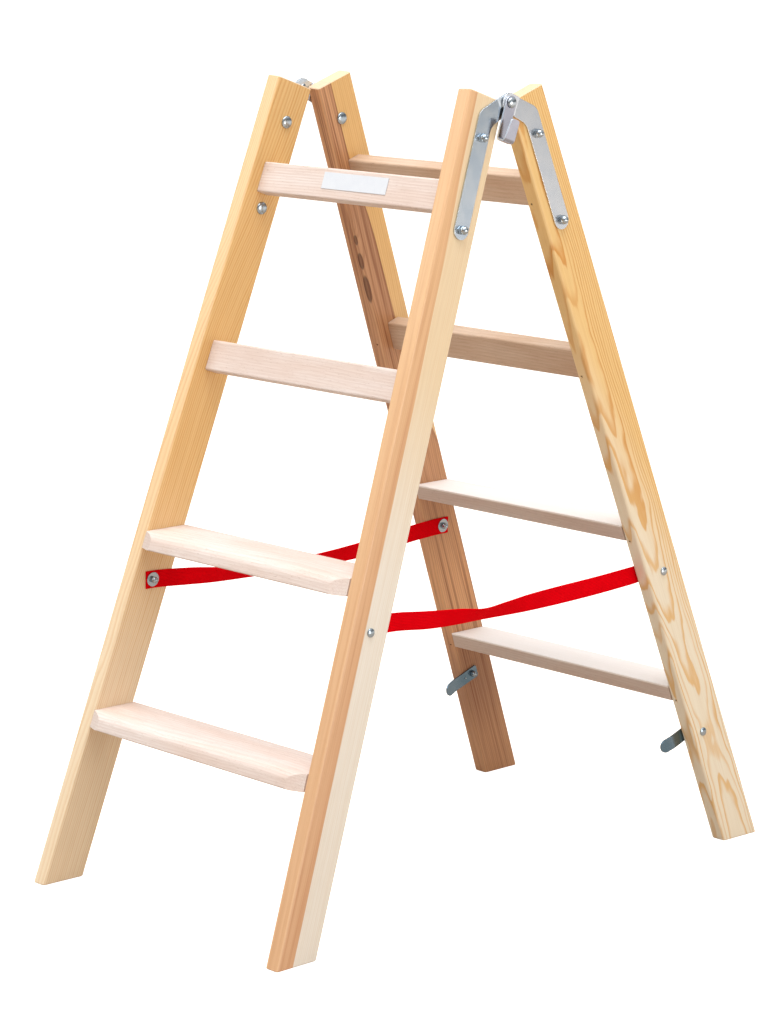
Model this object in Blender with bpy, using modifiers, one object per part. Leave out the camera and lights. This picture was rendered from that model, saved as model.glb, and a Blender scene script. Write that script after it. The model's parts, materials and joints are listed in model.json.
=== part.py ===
"""Double-sided wooden stepladder: two hinged frames, each with two rungs and two treads.

Metres, +Z up. X runs along the rungs, the front frame leans towards -Y and the rear frame towards +Y.
The origin is on the floor, straight below the hinge axis.

Each frame is modelled hanging straight down from the hinge axis, in its own coordinates:
x across the ladder, y outward from the hinge, z up from the hinge. Its empty then leans it.
"""

from math import acos, atan2, cos, hypot, pi, radians, sin, tan

import bmesh
import bpy
from mathutils import Matrix, Vector

# Driving dimensions of the ladder
LEAN = radians(19.66)           # lean of each frame from the vertical when open
SPLAY = radians(2.8)            # each stile spreads sideways towards the floor
HINGE_HEIGHT = 1.1675
TOP_SPACING = 0.4151            # stile centre to stile centre at the top of the stiles
STILE_WIDTH = 0.026             # across the ladder
STILE_DEPTH = 0.070
INNER_EDGE = 0.0055             # hinge axis to the inner edge of a stile
TOP_DROP = 0.0028               # hinge axis down to the top of a stile
FIRST_RUNG = 0.128              # top of a stile to the top of its first rung, along the stile
RUNG_PITCH = 0.279              # from each rung or tread to the next, along the stile
GAP = 0.0003                    # left between pieces that touch

# Wooden pieces
STILE_ROUNDING = 0.004          # long edges
END_ROUNDING = 0.0012           # top and foot
RUNG_HEIGHT = 0.047
RUNG_DEPTH = 0.025
TREAD_THICKNESS = 0.024
TREAD_OVERHANG = 0.010          # the nose stands out past the outer edge of the stiles
TREAD_NOSE_RADIUS = 0.011        # upper edge of the nose
TREAD_UNDER_RADIUS = 0.003       # lower edge of the nose
TREAD_END_CHAMFER = 0.028
TENON_LENGTH = 0.018
RUNG_TENON = (0.016, 0.036)     # depth and height
TREAD_TENON = (0.046, 0.014)
PIN_RADIUS = 0.0016
PIN_LENGTH = 0.040
PIN_BELOW_TOP = (0.031, 0.029, 0.026, 0.025)
PIN_INBOARD = 0.004

# Hinges
PLATE_THICKNESS = 0.0025
PLATE_WIDTH = 0.028
PLATE_CENTRE = 0.0305           # inner edge of the stile to the plate's centre line
PLATE_END = 0.209               # top of the stile to the plate's lower end
EYE_RADIUS = 0.0136
ARM_ANGLE = radians(43.6)       # the plate's arm, measured from straight outward towards down
HINGE_BOLTS = ((0.0305, 0.061), (0.0305, 0.196))
RIVET_RADIUS = 0.0035
RIVET_HEAD = (0.0080, 0.0048)   # radius and height
RIVET_TAIL = (0.0054, 0.0018)

# Bucket hook
HOOK_WIDTH = 0.0195
HOOK_THICKNESS = 0.0028
HOOK_DROP = 0.0520              # hinge axis to where the two lower bends start
HOOK_BEND = 0.0050              # radius of the two bends at mid thickness
HOOK_GAP = 0.0150               # back leg to outer leg at the bends, at mid thickness
HOOK_LIP = 0.0280               # from the bends to the end of the outer leg
HOOK_LIP_WIDTH = 0.0150
HOOK_LIP_LEAN = 0.11            # the outer leg opens outward
HOOK_TILT = radians(-19.0)      # where friction holds it

# Spreader straps
STRAP_WIDTH = 0.027
STRAP_THICKNESS = 0.0018
STRAP_BOLT = (0.034, 0.7788)
STRAP_TAIL = 0.012              # strap end past its bolt
STRAP_SAG = 0.015
STRAP_WASHER = (0.0110, 0.0012)

# Closing guides on the rear frame
GUIDE_WIDTH = 0.021
GUIDE_THICKNESS = 0.0025
GUIDE_BOLT = (0.0205, 1.0540)
GUIDE_REACH = 0.0445            # past the inner edge of the stile
GUIDE_TAIL = 0.0115             # past the bolt
GUIDE_TIP = 0.025               # length of the bent tip
GUIDE_TIP_BEND = radians(10.0)
GUIDE_TACK = 0.0165             # bolt to the tack that stops the guide turning

# Bolts: shank radius, head radius, head height
HINGE_BOLT = (0.0030, 0.0090, 0.0040)
SMALL_BOLT = (0.0025, 0.0066, 0.0030)
HINGE_NUT = (0.0060, 0.0055, 0.0110)   # radius over the corners, hexagon height, whole height
SMALL_NUT = (0.0050, 0.0040, 0.0085)
ROUND_SIDES = 14

# Blank label on the first rung
LABEL_SIZE = (0.140, 0.025)
LABEL_THICKNESS = 0.0005
LABEL_OFFSET = 0.0085           # from the middle of the ladder, towards its right side
LABEL_DROP = 0.0195             # rung top to the label's middle

RUNG_TOPS = [FIRST_RUNG + RUNG_PITCH * k for k in range(4)]
FACE = STILE_WIDTH / 2
EYE_PLANE = {"front": 0.0009, "rear": 0.0009 + PLATE_THICKNESS + 0.0004}
RAMP = (0.0152, 0.0185)         # along the arm, between the eye's plane and the stile's face
HOOK_PLANE = EYE_PLANE["rear"] + PLATE_THICKNESS + GAP
SIDES = {"left": -1, "right": 1}


# ---------------------------------------------------------------- scene, collections, materials

def clear_scene():
    for obj in list(bpy.data.objects):
        bpy.data.objects.remove(obj, do_unlink=True)


def make_collection(name):
    collection = bpy.data.collections.new(name)
    bpy.context.scene.collection.children.link(collection)
    return collection


def make_material(name, colour, roughness, metallic=0.0):
    material = bpy.data.materials.new(name)
    material.use_nodes = True
    shader = material.node_tree.nodes["Principled BSDF"]
    shader.inputs["Base Color"].default_value = (*colour, 1.0)
    shader.inputs["Roughness"].default_value = roughness
    shader.inputs["Metallic"].default_value = metallic
    return material


def link_object(name, mesh, matrix, material=None, collection=None, parent=None):
    obj = bpy.data.objects.new(name, mesh)
    (collection or PARTS).objects.link(obj)
    if parent:
        obj.parent = parent
    obj.matrix_basis = matrix
    if material:
        mesh.materials.append(material)
    return obj


def mesh_from(bm, name):
    bmesh.ops.recalc_face_normals(bm, faces=bm.faces)
    mesh = bpy.data.meshes.new(name)
    bm.to_mesh(mesh)
    bm.free()
    return mesh


def shade_round(obj):
    obj.data.shade_smooth()
    obj.data.set_sharp_from_angle(angle=radians(40))


# ---------------------------------------------------------------- shapes

def box_mesh(name, low, high):
    """A cube primitive brought to the two corners given."""
    bm = bmesh.new()
    bmesh.ops.create_cube(bm, size=1.0)
    for v in bm.verts:
        v.co = Vector((a + (b - a) * (c + 0.5) for a, b, c in zip(low, high, v.co)))
    return mesh_from(bm, name)


def arc(centre, radius, start, end, steps):
    """Points of a circular arc, end points included."""
    angles = [start + (end - start) * k / steps for k in range(steps + 1)]
    return [(centre[0] + radius * cos(a), centre[1] + radius * sin(a)) for a in angles]


def fillet(before, corner, after, radius, steps=5):
    """The arc that rounds one corner of an outline."""
    into = Vector(corner) - Vector(before)
    out = Vector(after) - Vector(corner)
    into.normalize()
    out.normalize()
    turn = atan2(into.x * out.y - into.y * out.x, into.dot(out))
    reach = radius * tan(abs(turn) / 2)
    start = Vector(corner) - into * reach
    side = 1 if turn > 0 else -1
    centre = start + Vector((-into.y, into.x)) * radius * side
    angle = atan2(start.y - centre.y, start.x - centre.x)
    return arc(centre, radius, angle, angle + turn, steps)


def tangent_angle(centre, radius, point, side):
    """Angle on a circle where a line from the point touches it; side is 1 or -1."""
    away = (point[0] - centre[0], point[1] - centre[1])
    return atan2(away[1], away[0]) + side * acos(radius / hypot(*away))


def outline_mesh(name, points, thickness):
    """A flat filled 2D curve, given its thickness, as a mesh in the XY plane from z 0 up."""
    curve = bpy.data.curves.new(name, "CURVE")
    curve.dimensions = "2D"
    curve.fill_mode = "BOTH"
    curve.extrude = thickness / 2
    spline = curve.splines.new("POLY")
    spline.points.add(len(points) - 1)
    for place, (x, y) in zip(spline.points, points):
        place.co = (x, y, 0.0, 1.0)
    spline.use_cyclic_u = True
    holder = bpy.data.objects.new(name, curve)
    bpy.context.scene.collection.objects.link(holder)
    graph = bpy.context.evaluated_depsgraph_get()
    mesh = bpy.data.meshes.new_from_object(holder.evaluated_get(graph))
    bpy.data.objects.remove(holder, do_unlink=True)
    bm = bmesh.new()
    bm.from_mesh(mesh)
    bmesh.ops.remove_doubles(bm, verts=bm.verts, dist=1e-6)
    bmesh.ops.translate(bm, verts=bm.verts, vec=(0, 0, thickness / 2))
    return mesh_from(bm, name)


def turned(bm, profile, matrix, sides=ROUND_SIDES):
    """Spins a profile of (radius, height) points, outer side top to bottom, round its Z axis."""
    points = [Vector((r, 0, h)) for r, h in profile]
    verts = [bm.verts.new(matrix @ p) for p in points]
    edges = [bm.edges.new(pair) for pair in zip(verts, verts[1:])]
    made = bmesh.ops.spin(
        bm,
        geom=verts + edges,
        cent=matrix.translation,
        axis=matrix.to_3x3() @ Vector((0, 0, 1)),
        angle=2 * pi,
        steps=sides,
    )
    bmesh.ops.remove_doubles(bm, verts=bm.verts, dist=1e-5)
    return made


def cylinder(bm, matrix, radius, low, high, sides=ROUND_SIDES):
    """A capped cylinder along the Z axis of the matrix, from low to high."""
    middle = matrix @ Matrix.Translation((0, 0, (low + high) / 2))
    bmesh.ops.create_cone(
        bm, cap_ends=True, segments=sides, radius1=radius, radius2=radius, depth=high - low, matrix=middle
    )


def dome(radius, height, base, steps=3):
    """Profile points of a round head that stands on the plane at base, top to bottom."""
    points = [(0.0, base + height)]
    for k in range(1, steps + 1):
        angle = pi / 2 * k / steps
        points.append((radius * sin(angle), base + height * (0.25 + 0.75 * cos(angle))))
    points.append((radius, base))
    return points


def boolean(obj, other, operation, name):
    modifier = obj.modifiers.new(name, "BOOLEAN")
    modifier.operation = operation
    modifier.solver = "EXACT"
    modifier.object = other
    return modifier


def hide_cutter(obj):
    obj.hide_render = True
    obj.display_type = "WIRE"


# ---------------------------------------------------------------- frames and stile coordinates

def frame_empty(name, turned_round):
    """The empty on the hinge axis that leans a frame. The front one is the rear one turned about Z."""
    empty = bpy.data.objects.new(name, None)
    PARTS.objects.link(empty)
    lean = Matrix.Translation((0, 0, HINGE_HEIGHT)) @ Matrix.Rotation(LEAN, 4, "X")
    empty.matrix_basis = (Matrix.Rotation(pi, 4, "Z") if turned_round else Matrix.Identity(4)) @ lean
    return empty


def frame_side(frame, side):
    """Sign of x in a frame's own coordinates for a side of the ladder."""
    return SIDES[side] * (-1 if frame == "front" else 1)


def stile_matrix(frame, side):
    """From stile coordinates to frame coordinates.

    Stile coordinates: x outward from the stile's middle, y from its inner edge outward, z up from its top.
    Only the left and right stiles' x are mirrored, so a shape made for one also suits the other.
    """
    sign = frame_side(frame, side)
    place = Matrix.Translation((sign * TOP_SPACING / 2, INNER_EDGE, -TOP_DROP))
    return place @ Matrix.Rotation(-sign * SPLAY, 4, "Y") @ Matrix.Diagonal((sign, 1, 1, 1))


def inner_face(below_top):
    """x of the inner face of the right stile, in frame coordinates."""
    return TOP_SPACING / 2 - FACE / cos(SPLAY) + tan(SPLAY) * below_top


def apply_matrix(mesh, matrix):
    mesh.transform(matrix)
    if matrix.determinant() < 0:
        mesh.flip_normals()
    return mesh


def across(x, y, z, outward):
    """Axis along a stile's x: z of a bolt points outward, or inward."""
    turn = pi / 2 if outward else -pi / 2
    return Matrix.Translation((x, y, z)) @ Matrix.Rotation(turn, 4, "Y")


# ---------------------------------------------------------------- wooden pieces

def make_stile(frame, side):
    """A plain rounded bar, cut level at the floor."""
    bm = bmesh.new()
    bmesh.ops.create_cube(bm, size=1.0)
    sign = frame_side(frame, side)
    for v in bm.verts:
        y = STILE_DEPTH * (v.co.y + 0.5)
        x = STILE_WIDTH * v.co.x
        z = 0.0
        if v.co.z < 0:
            floor = -HINGE_HEIGHT / cos(LEAN) - tan(LEAN) * (INNER_EDGE + y) + TOP_DROP
            z = (floor - x * sin(SPLAY)) / cos(SPLAY)
        v.co = Vector((x, y, z))
    long_edges = [e for e in bm.edges if e.calc_length() > 0.5]
    bmesh.ops.bevel(bm, geom=long_edges, offset=STILE_ROUNDING, segments=3, profile=0.5, affect="EDGES")
    end_edges = [e for e in bm.edges if e.calc_length() < 0.5]
    bmesh.ops.bevel(bm, geom=end_edges, offset=END_ROUNDING, segments=1, profile=0.5, affect="EDGES")
    mesh = apply_matrix(mesh_from(bm, f"{frame}_stile_{side}"), stile_matrix(frame, side))
    name = f"{frame}_stile_{side}"
    colour = WOOD["stile_light"] if (frame, side) in (("rear", "right"), ("front", "left")) else WOOD["stile_dark"]
    obj = link_object(name, mesh, Matrix.Identity(4), colour, parent=FRAMES[frame])
    boolean(obj, CUTTERS[frame, "mortises"], "DIFFERENCE", "mortises")
    boolean(obj, CUTTERS[frame, "pins"], "DIFFERENCE", "pin holes")
    boolean(obj, CUTTERS[frame, "bolts"], "DIFFERENCE", "bolt holes")
    shade_round(obj)
    return obj


def span_mesh(name, y_low, y_high, top, height, past_face, slope, rounding):
    """A bar between the two stiles, whose ends follow the splay, or stand past_face into the stiles.

    slope tilts it so that it is level when the frame leans.
    """
    bm = bmesh.new()
    bmesh.ops.create_cube(bm, size=1.0)
    for v in bm.verts:
        y = y_low + (y_high - y_low) * (v.co.y + 0.5)
        below = top + height * (0.5 - v.co.z) + slope * y
        x = (inner_face(below) + past_face) * (1 if v.co.x > 0 else -1)
        v.co = Vector((x, INNER_EDGE + y, -TOP_DROP - below))
    if rounding:
        long_edges = [e for e in bm.edges if abs(e.verts[0].co.x - e.verts[1].co.x) > 0.1]
        bmesh.ops.bevel(bm, geom=long_edges, offset=rounding, segments=3, profile=0.5, affect="EDGES")
    return mesh_from(bm, name)


def rung_depth_range():
    low = (STILE_DEPTH - RUNG_DEPTH) / 2 + 0.001
    return low, low + RUNG_DEPTH


def make_rung(frame, number):
    """A rectangular rung with a thinner tenon through its whole length."""
    top = RUNG_TOPS[number - 1]
    name = f"{frame}_rung_{number}"
    low, high = rung_depth_range()
    mesh = span_mesh(name, low, high, top, RUNG_HEIGHT, -GAP, 0.0, 0.003)
    obj = link_object(name, mesh, Matrix.Identity(4), WOOD["rung"], parent=FRAMES[frame])
    boolean(obj, TENONS[frame, number], "UNION", "tenons")
    boolean(obj, CUTTERS[frame, "pins"], "DIFFERENCE", "pin holes")
    shade_round(obj)
    return obj


def cut_end(bm, corner, direction):
    """Cuts the bar off along an upright plane through corner, and closes it again."""
    normal = Vector((direction[1], -direction[0], 0.0))
    if normal.x * corner[0] < 0:
        normal = -normal
    geometry = bm.verts[:] + bm.edges[:] + bm.faces[:]
    bmesh.ops.bisect_plane(bm, geom=geometry, plane_co=(*corner, 0.0), plane_no=normal, clear_outer=True)
    bmesh.ops.holes_fill(bm, edges=[e for e in bm.edges if e.is_boundary])


def make_tread(frame, number):
    """A level tread with a rounded nose that stands proud of the stiles, its nose ends cut back."""
    top = RUNG_TOPS[number - 1]
    name = f"{frame}_tread_{number}"
    nose = STILE_DEPTH + TREAD_OVERHANG
    half = inner_face(top)
    thickness = TREAD_THICKNESS / cos(LEAN)
    bm = bmesh.new()
    bm.from_mesh(box_mesh(name, (-half, 0.0, 0.0), (half, nose, thickness)))
    for height, radius in ((thickness, TREAD_NOSE_RADIUS), (0.0, TREAD_UNDER_RADIUS)):
        edges = []
        for e in bm.edges:
            middle = (e.verts[0].co + e.verts[1].co) / 2
            if e.calc_length() > half and abs(middle.z - height) < 1e-5 and abs(middle.y - nose) < 1e-5:
                edges.append(e)
        bmesh.ops.bevel(bm, geom=edges, offset=radius, segments=5, profile=0.5, affect="EDGES")
    for sign in SIDES.values():
        cut_end(bm, (sign * half, STILE_DEPTH), (-sign * TREAD_END_CHAMFER, TREAD_OVERHANG))
    for v in bm.verts:
        below = top + tan(LEAN) * v.co.y + thickness - v.co.z
        x = v.co.x * (inner_face(below) - GAP) / half
        v.co = Vector((x, INNER_EDGE + v.co.y, -TOP_DROP - below))
    obj = link_object(name, mesh_from(bm, name), Matrix.Identity(4), WOOD["rung"], parent=FRAMES[frame])
    boolean(obj, TENONS[frame, number], "UNION", "tenons")
    boolean(obj, CUTTERS[frame, "pins"], "DIFFERENCE", "pin holes")
    shade_round(obj)
    return obj


def tenon_mesh(name, number, extra):
    """The tenon bar of a rung or tread, or with extra its mortise."""
    top = RUNG_TOPS[number - 1]
    rung = number <= 2
    depth, height = RUNG_TENON if rung else TREAD_TENON
    low, high = rung_depth_range()
    middle = (low + high) / 2 if rung else STILE_DEPTH / 2
    whole = RUNG_HEIGHT if rung else TREAD_THICKNESS / cos(LEAN)
    start = top + (whole - height) / 2
    slope = 0.0 if rung else tan(LEAN)
    return span_mesh(
        name,
        middle - depth / 2 - extra,
        middle + depth / 2 + extra,
        start - extra,
        height + 2 * extra,
        TENON_LENGTH + extra,
        slope,
        0.0,
    )


def make_tenons_and_mortises(frame):
    for number in range(1, 5):
        bar = link_object(
            f"{frame}_tenon_{number}",
            tenon_mesh(f"{frame}_tenon_{number}", number, 0.0),
            Matrix.Identity(4),
            collection=TOOLS,
            parent=FRAMES[frame],
        )
        hide_cutter(bar)
        TENONS[frame, number] = bar
    bm = bmesh.new()
    for number in range(1, 5):
        bm.from_mesh(tenon_mesh("mortise", number, GAP))
    cutter = link_object(
        f"{frame}_mortises", mesh_from(bm, "mortises"), Matrix.Identity(4), collection=TOOLS, parent=FRAMES[frame]
    )
    hide_cutter(cutter)
    CUTTERS[frame, "mortises"] = cutter


def pin_places(frame):
    """Matrices of the tenon pins: z points into the stile from its inner edge."""
    places = []
    for side in SIDES:
        for top, below in zip(RUNG_TOPS, PIN_BELOW_TOP):
            inboard = Matrix.Translation((-PIN_INBOARD, 0.0, -(top + below)))
            places.append(stile_matrix(frame, side) @ inboard @ Matrix.Rotation(-pi / 2, 4, "X"))
    return places


def pins_mesh(name, frame, radius, low, high, sides):
    bm = bmesh.new()
    for place in pin_places(frame):
        cylinder(bm, place, radius, low, high, sides)
    return mesh_from(bm, name)


# ---------------------------------------------------------------- hinges

def plate_outline():
    """The hinge plate in (outward, below) coordinates from the stile's inner top corner."""
    eye = (-INNER_EDGE, -TOP_DROP)
    inner = PLATE_CENTRE - PLATE_WIDTH / 2
    outer = PLATE_CENTRE + PLATE_WIDTH / 2
    end = PLATE_END - PLATE_WIDTH / 2
    outer_corner = (outer, 0.0250)
    inner_corner = (inner, 0.0400)
    outer_touch = tangent_angle(eye, EYE_RADIUS, outer_corner, -1)
    inner_touch = tangent_angle(eye, EYE_RADIUS, inner_corner, 1)
    points = arc((PLATE_CENTRE, end), PLATE_WIDTH / 2, pi, 0.0, 12)
    eye_arc = arc(eye, EYE_RADIUS, outer_touch, inner_touch - 2 * pi, 14)
    points += fillet((outer, end), outer_corner, eye_arc[0], 0.020)
    points += eye_arc
    points += fillet(eye_arc[-1], inner_corner, (inner, end), 0.022)
    return points


def along_arm(y, below):
    return (y + INNER_EDGE) * cos(ARM_ANGLE) + (below + TOP_DROP) * sin(ARM_ANGLE)


def face_x(below):
    """x of a stile's outer face, in frame coordinates for a stile on the +x side."""
    return TOP_SPACING / 2 + FACE / cos(SPLAY) + tan(SPLAY) * below


def make_hinge_plate(frame, side):
    """A stamped strip that lies on the stile and steps out to its eye, which is square to the hinge axis."""
    name = f"{frame}_hinge_plate_{side}"
    bm = bmesh.new()
    bm.from_mesh(outline_mesh(name, plate_outline(), PLATE_THICKNESS))
    normal = Vector((cos(ARM_ANGLE), sin(ARM_ANGLE), 0))
    for ramp in RAMP:
        start = Vector((-INNER_EDGE, -TOP_DROP, 0)) + normal * ramp
        geometry = bm.verts[:] + bm.edges[:] + bm.faces[:]
        bmesh.ops.bisect_plane(bm, geom=geometry, plane_co=start, plane_no=normal)
    sign = frame_side(frame, side)
    eye_x = face_x(0.0) + EYE_PLANE[frame]
    for v in bm.verts:
        y, below, layer = v.co
        share = min(1.0, max(0.0, (along_arm(y, below) - RAMP[0]) / (RAMP[1] - RAMP[0])))
        flat_x = face_x(below) + GAP
        x = eye_x + (flat_x - eye_x) * share + layer
        v.co = Vector((sign * x, INNER_EDGE + y, -TOP_DROP - below))
    obj = link_object(name, mesh_from(bm, name), Matrix.Identity(4), METAL["zinc"], parent=FRAMES[frame])
    boolean(obj, CUTTERS[frame, "bolts"], "DIFFERENCE", "bolt holes")
    boolean(obj, CUTTERS["rivets"], "DIFFERENCE", "rivet hole")
    return obj


def rivet_stack(side):
    """Where the rivet's head and tail rest, measured along x from the middle of the ladder."""
    inner = face_x(0.0) + EYE_PLANE["front"] - GAP
    outer = face_x(0.0) + EYE_PLANE["rear"] + PLATE_THICKNESS + GAP
    if side == "right":
        outer += HOOK_THICKNESS + GAP
    return inner, outer


def make_rivet(side):
    name = f"hinge_rivet_{side}"
    inner, outer = rivet_stack(side)
    head_radius, head_height = RIVET_HEAD
    tail_radius, tail_height = RIVET_TAIL
    profile = dome(head_radius, head_height, outer, 4)
    profile += [(RIVET_RADIUS, outer), (RIVET_RADIUS, inner), (tail_radius, inner)]
    profile += [(tail_radius, inner - tail_height * 0.5), (tail_radius * 0.7, inner - tail_height)]
    profile += [(0.0, inner - tail_height)]
    bm = bmesh.new()
    axis = Matrix.Rotation(SIDES[side] * pi / 2, 4, "Y")
    turned(bm, profile, axis)
    place = Matrix.Translation((0, 0, HINGE_HEIGHT))
    obj = link_object(name, mesh_from(bm, name), place, METAL["zinc"])
    shade_round(obj)


# ---------------------------------------------------------------- bucket hook

def hook_path():
    """Centre line of the hook's strip in (outward, up), from its top round to its lip."""
    top = HOOK_WIDTH / 2
    path = [(0.0, top * cos(pi * k / 16)) for k in range(1, 9)]
    path += [(0.0, -HOOK_DROP * k / 4) for k in range(1, 4)]
    path += arc((HOOK_BEND, -HOOK_DROP), HOOK_BEND, pi, 1.5 * pi, 5)
    path += arc((HOOK_GAP - HOOK_BEND, -HOOK_DROP), HOOK_BEND, 1.5 * pi, 2 * pi, 5)
    path += [(HOOK_GAP + HOOK_LIP_LEAN * rise, rise - HOOK_DROP) for rise in lip_rises()]
    return path


def lip_rises():
    """Heights above the bends where the outer leg is cut into strips: closer at its rounded end."""
    straight = HOOK_LIP - HOOK_LIP_WIDTH / 4
    rises = [straight * k / 3 for k in range(1, 4)]
    return rises + [straight + HOOK_LIP_WIDTH / 4 * sin(pi / 2 * k / 4) for k in range(1, 5)]


def hook_half_width(index, count):
    """Round round the rivet, straight, narrower up the outer leg, and with rounded corners at its end."""
    half = HOOK_WIDTH / 2
    if index < 8:
        return half * sin(pi * (index + 1) / 16)
    rises = lip_rises()
    step = index - (count - len(rises))
    if step < 0:
        return half
    half += (HOOK_LIP_WIDTH / 2 - half) * rises[step] / HOOK_LIP
    corner = max(0, step - 2) / 4
    return half - HOOK_LIP_WIDTH / 4 * (1 - cos(pi / 2 * corner))


def make_bucket_hook():
    """A folded strip, made as a sheet along its centre line and then given its thickness."""
    path = hook_path()
    bm = bmesh.new()
    rows = []
    for index, (x, z) in enumerate(path):
        half = hook_half_width(index, len(path))
        rows.append([bm.verts.new((x, y, z)) for y in (-half, 0.0, half)])
    for row, following in zip(rows, rows[1:]):
        for k in range(2):
            bm.faces.new((row[k], row[k + 1], following[k + 1], following[k]))
    mesh = mesh_from(bm, "bucket_hook")
    x = face_x(0.0) + HOOK_PLANE + HOOK_THICKNESS / 2
    place = Matrix.Translation((x, 0, HINGE_HEIGHT)) @ Matrix.Rotation(HOOK_TILT, 4, "X")
    obj = link_object("bucket_hook", mesh, place, METAL["zinc"])
    solid = obj.modifiers.new("strip thickness", "SOLIDIFY")
    solid.thickness = HOOK_THICKNESS
    solid.offset = 0.0
    solid.use_even_offset = True
    boolean(obj, CUTTERS["rivets"], "DIFFERENCE", "rivet hole")
    return obj


# ---------------------------------------------------------------- bolts, nuts and washers

def bolt_profile(sizes, head_base, tip):
    """A round-headed bolt: the head stands on head_base and the shank runs down to tip."""
    shank, radius, height = sizes
    return dome(radius, height, head_base) + [(shank, head_base), (shank, tip), (0.0, tip)]


def cap_nut_profile(sizes, base, bore_radius, bore_end):
    """A domed nut on the plane at base, with a blind bore that takes the bolt's end."""
    corners, collar_height, height = sizes
    collar = base + collar_height
    profile = dome(corners * 0.88, height - collar_height, collar)[:-1]
    profile += [(corners, collar), (corners, base)]
    profile += [(bore_radius, base), (bore_radius, bore_end), (0.0, bore_end)]
    return profile


def fastener_places(frame, kind):
    """Stile coordinates (outward, below) of each bolt of a kind."""
    if kind == "hinge":
        return HINGE_BOLTS
    if kind == "strap":
        return (STRAP_BOLT,)
    return (GUIDE_BOLT,) if frame == "rear" else ()


def make_bolt_cutter(frame):
    bm = bmesh.new()
    for side in SIDES:
        for kind, sizes in (("hinge", HINGE_BOLT), ("strap", SMALL_BOLT), ("guide", SMALL_BOLT)):
            for y, below in fastener_places(frame, kind):
                axis = stile_matrix(frame, side) @ across(0, y, -below, True)
                cylinder(bm, axis, sizes[0] + GAP, -0.03, 0.03)
        if frame == "rear":
            y, below = GUIDE_BOLT
            axis = stile_matrix(frame, side) @ across(0, y - GUIDE_TACK, -below, False)
            cylinder(bm, axis, 0.0008 + GAP, 0.0, 0.03, 8)
    cutter = link_object(
        f"{frame}_bolt_holes", mesh_from(bm, "bolt_holes"), Matrix.Identity(4), collection=TOOLS, parent=FRAMES[frame]
    )
    hide_cutter(cutter)
    CUTTERS[frame, "bolts"] = cutter


def make_turned(name, frame, axis, profile, sides=ROUND_SIDES):
    """One turned steel piece, its Z axis given in frame coordinates."""
    bm = bmesh.new()
    turned(bm, profile, axis, sides)
    obj = link_object(name, mesh_from(bm, name), Matrix.Identity(4), METAL["zinc"], parent=FRAMES[frame])
    shade_round(obj)
    return obj


def make_hinge_fasteners(frame, side):
    """Round-headed bolts from the inside, with cap nuts outside on the hinge plate."""
    stile = stile_matrix(frame, side)
    base = FACE + PLATE_THICKNESS + 2 * GAP
    tip = -(base + HINGE_NUT[1] + 0.002)
    bore_end = base + HINGE_NUT[1] + 0.0025
    for level, (y, below) in zip(("upper", "lower"), HINGE_BOLTS):
        inward = stile @ across(0, y, -below, False)
        outward = stile @ across(0, y, -below, True)
        ending = f"{side}_{level}"
        make_turned(f"{frame}_hinge_bolt_{ending}", frame, inward, bolt_profile(HINGE_BOLT, FACE + GAP, tip))
        nut = cap_nut_profile(HINGE_NUT, base, HINGE_BOLT[0] + GAP, bore_end)
        make_turned(f"{frame}_hinge_cap_nut_{ending}", frame, outward, nut)


def washer_profile(rest):
    radius, thickness = STRAP_WASHER
    bore = SMALL_BOLT[0] + GAP
    top = rest + thickness
    rim = [(radius - 0.001, top), (radius, rest + thickness * 0.4), (radius, rest)]
    return [(bore, top), *rim, (bore, rest), (bore, top)]


def make_inside_fasteners(frame, side, kind, layer):
    """A bolt with its head outside, and a cap nut inside over a strap's washer or over a guide."""
    y, below = STRAP_BOLT if kind == "strap" else GUIDE_BOLT
    stile = stile_matrix(frame, side)
    inward = stile @ across(0, y, -below, False)
    outward = stile @ across(0, y, -below, True)
    rest = FACE + layer + 2 * GAP
    if kind == "strap":
        make_turned(f"{frame}_strap_washer_{side}", frame, inward, washer_profile(rest))
        rest += STRAP_WASHER[1] + GAP
    tip = -(rest + SMALL_NUT[1] + 0.002)
    nut = cap_nut_profile(SMALL_NUT, rest, SMALL_BOLT[0] + GAP, rest + SMALL_NUT[1] + 0.0025)
    make_turned(f"{frame}_{kind}_bolt_{side}", frame, outward, bolt_profile(SMALL_BOLT, FACE + GAP, tip))
    make_turned(f"{frame}_{kind}_cap_nut_{side}", frame, inward, nut)


# ---------------------------------------------------------------- straps

def frame_point(frame, y, below):
    """World y and z of a point given in stile coordinates (outward, below)."""
    point = FRAMES[frame].matrix_basis @ Vector((0, INNER_EDGE + y, -TOP_DROP - below))
    return point.y, point.z


def strap_line():
    """The strap's centre line in world (y, z): it ends past its bolts and sags between them."""
    start = Vector(frame_point("front", *STRAP_BOLT))
    end = Vector(frame_point("rear", *STRAP_BOLT))
    run = (end - start).normalized()
    count = 24
    points = [start - run * STRAP_TAIL]
    for k in range(count + 1):
        share = k / count
        sag = STRAP_SAG * 4 * share * (1 - share)
        points.append(start.lerp(end, share) - Vector((0, sag)))
    points.append(end + run * STRAP_TAIL)
    return points


def strap_x(y, z):
    """Distance from the middle of the ladder to the face that the strap lies on, at a world y and z."""
    edge_y, _ = frame_point("rear", 0.0, STRAP_BOLT[1])
    y = max(abs(y), edge_y)
    below = y * sin(LEAN) + (HINGE_HEIGHT - z) * cos(LEAN) - TOP_DROP
    return inner_face(below) - GAP


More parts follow.
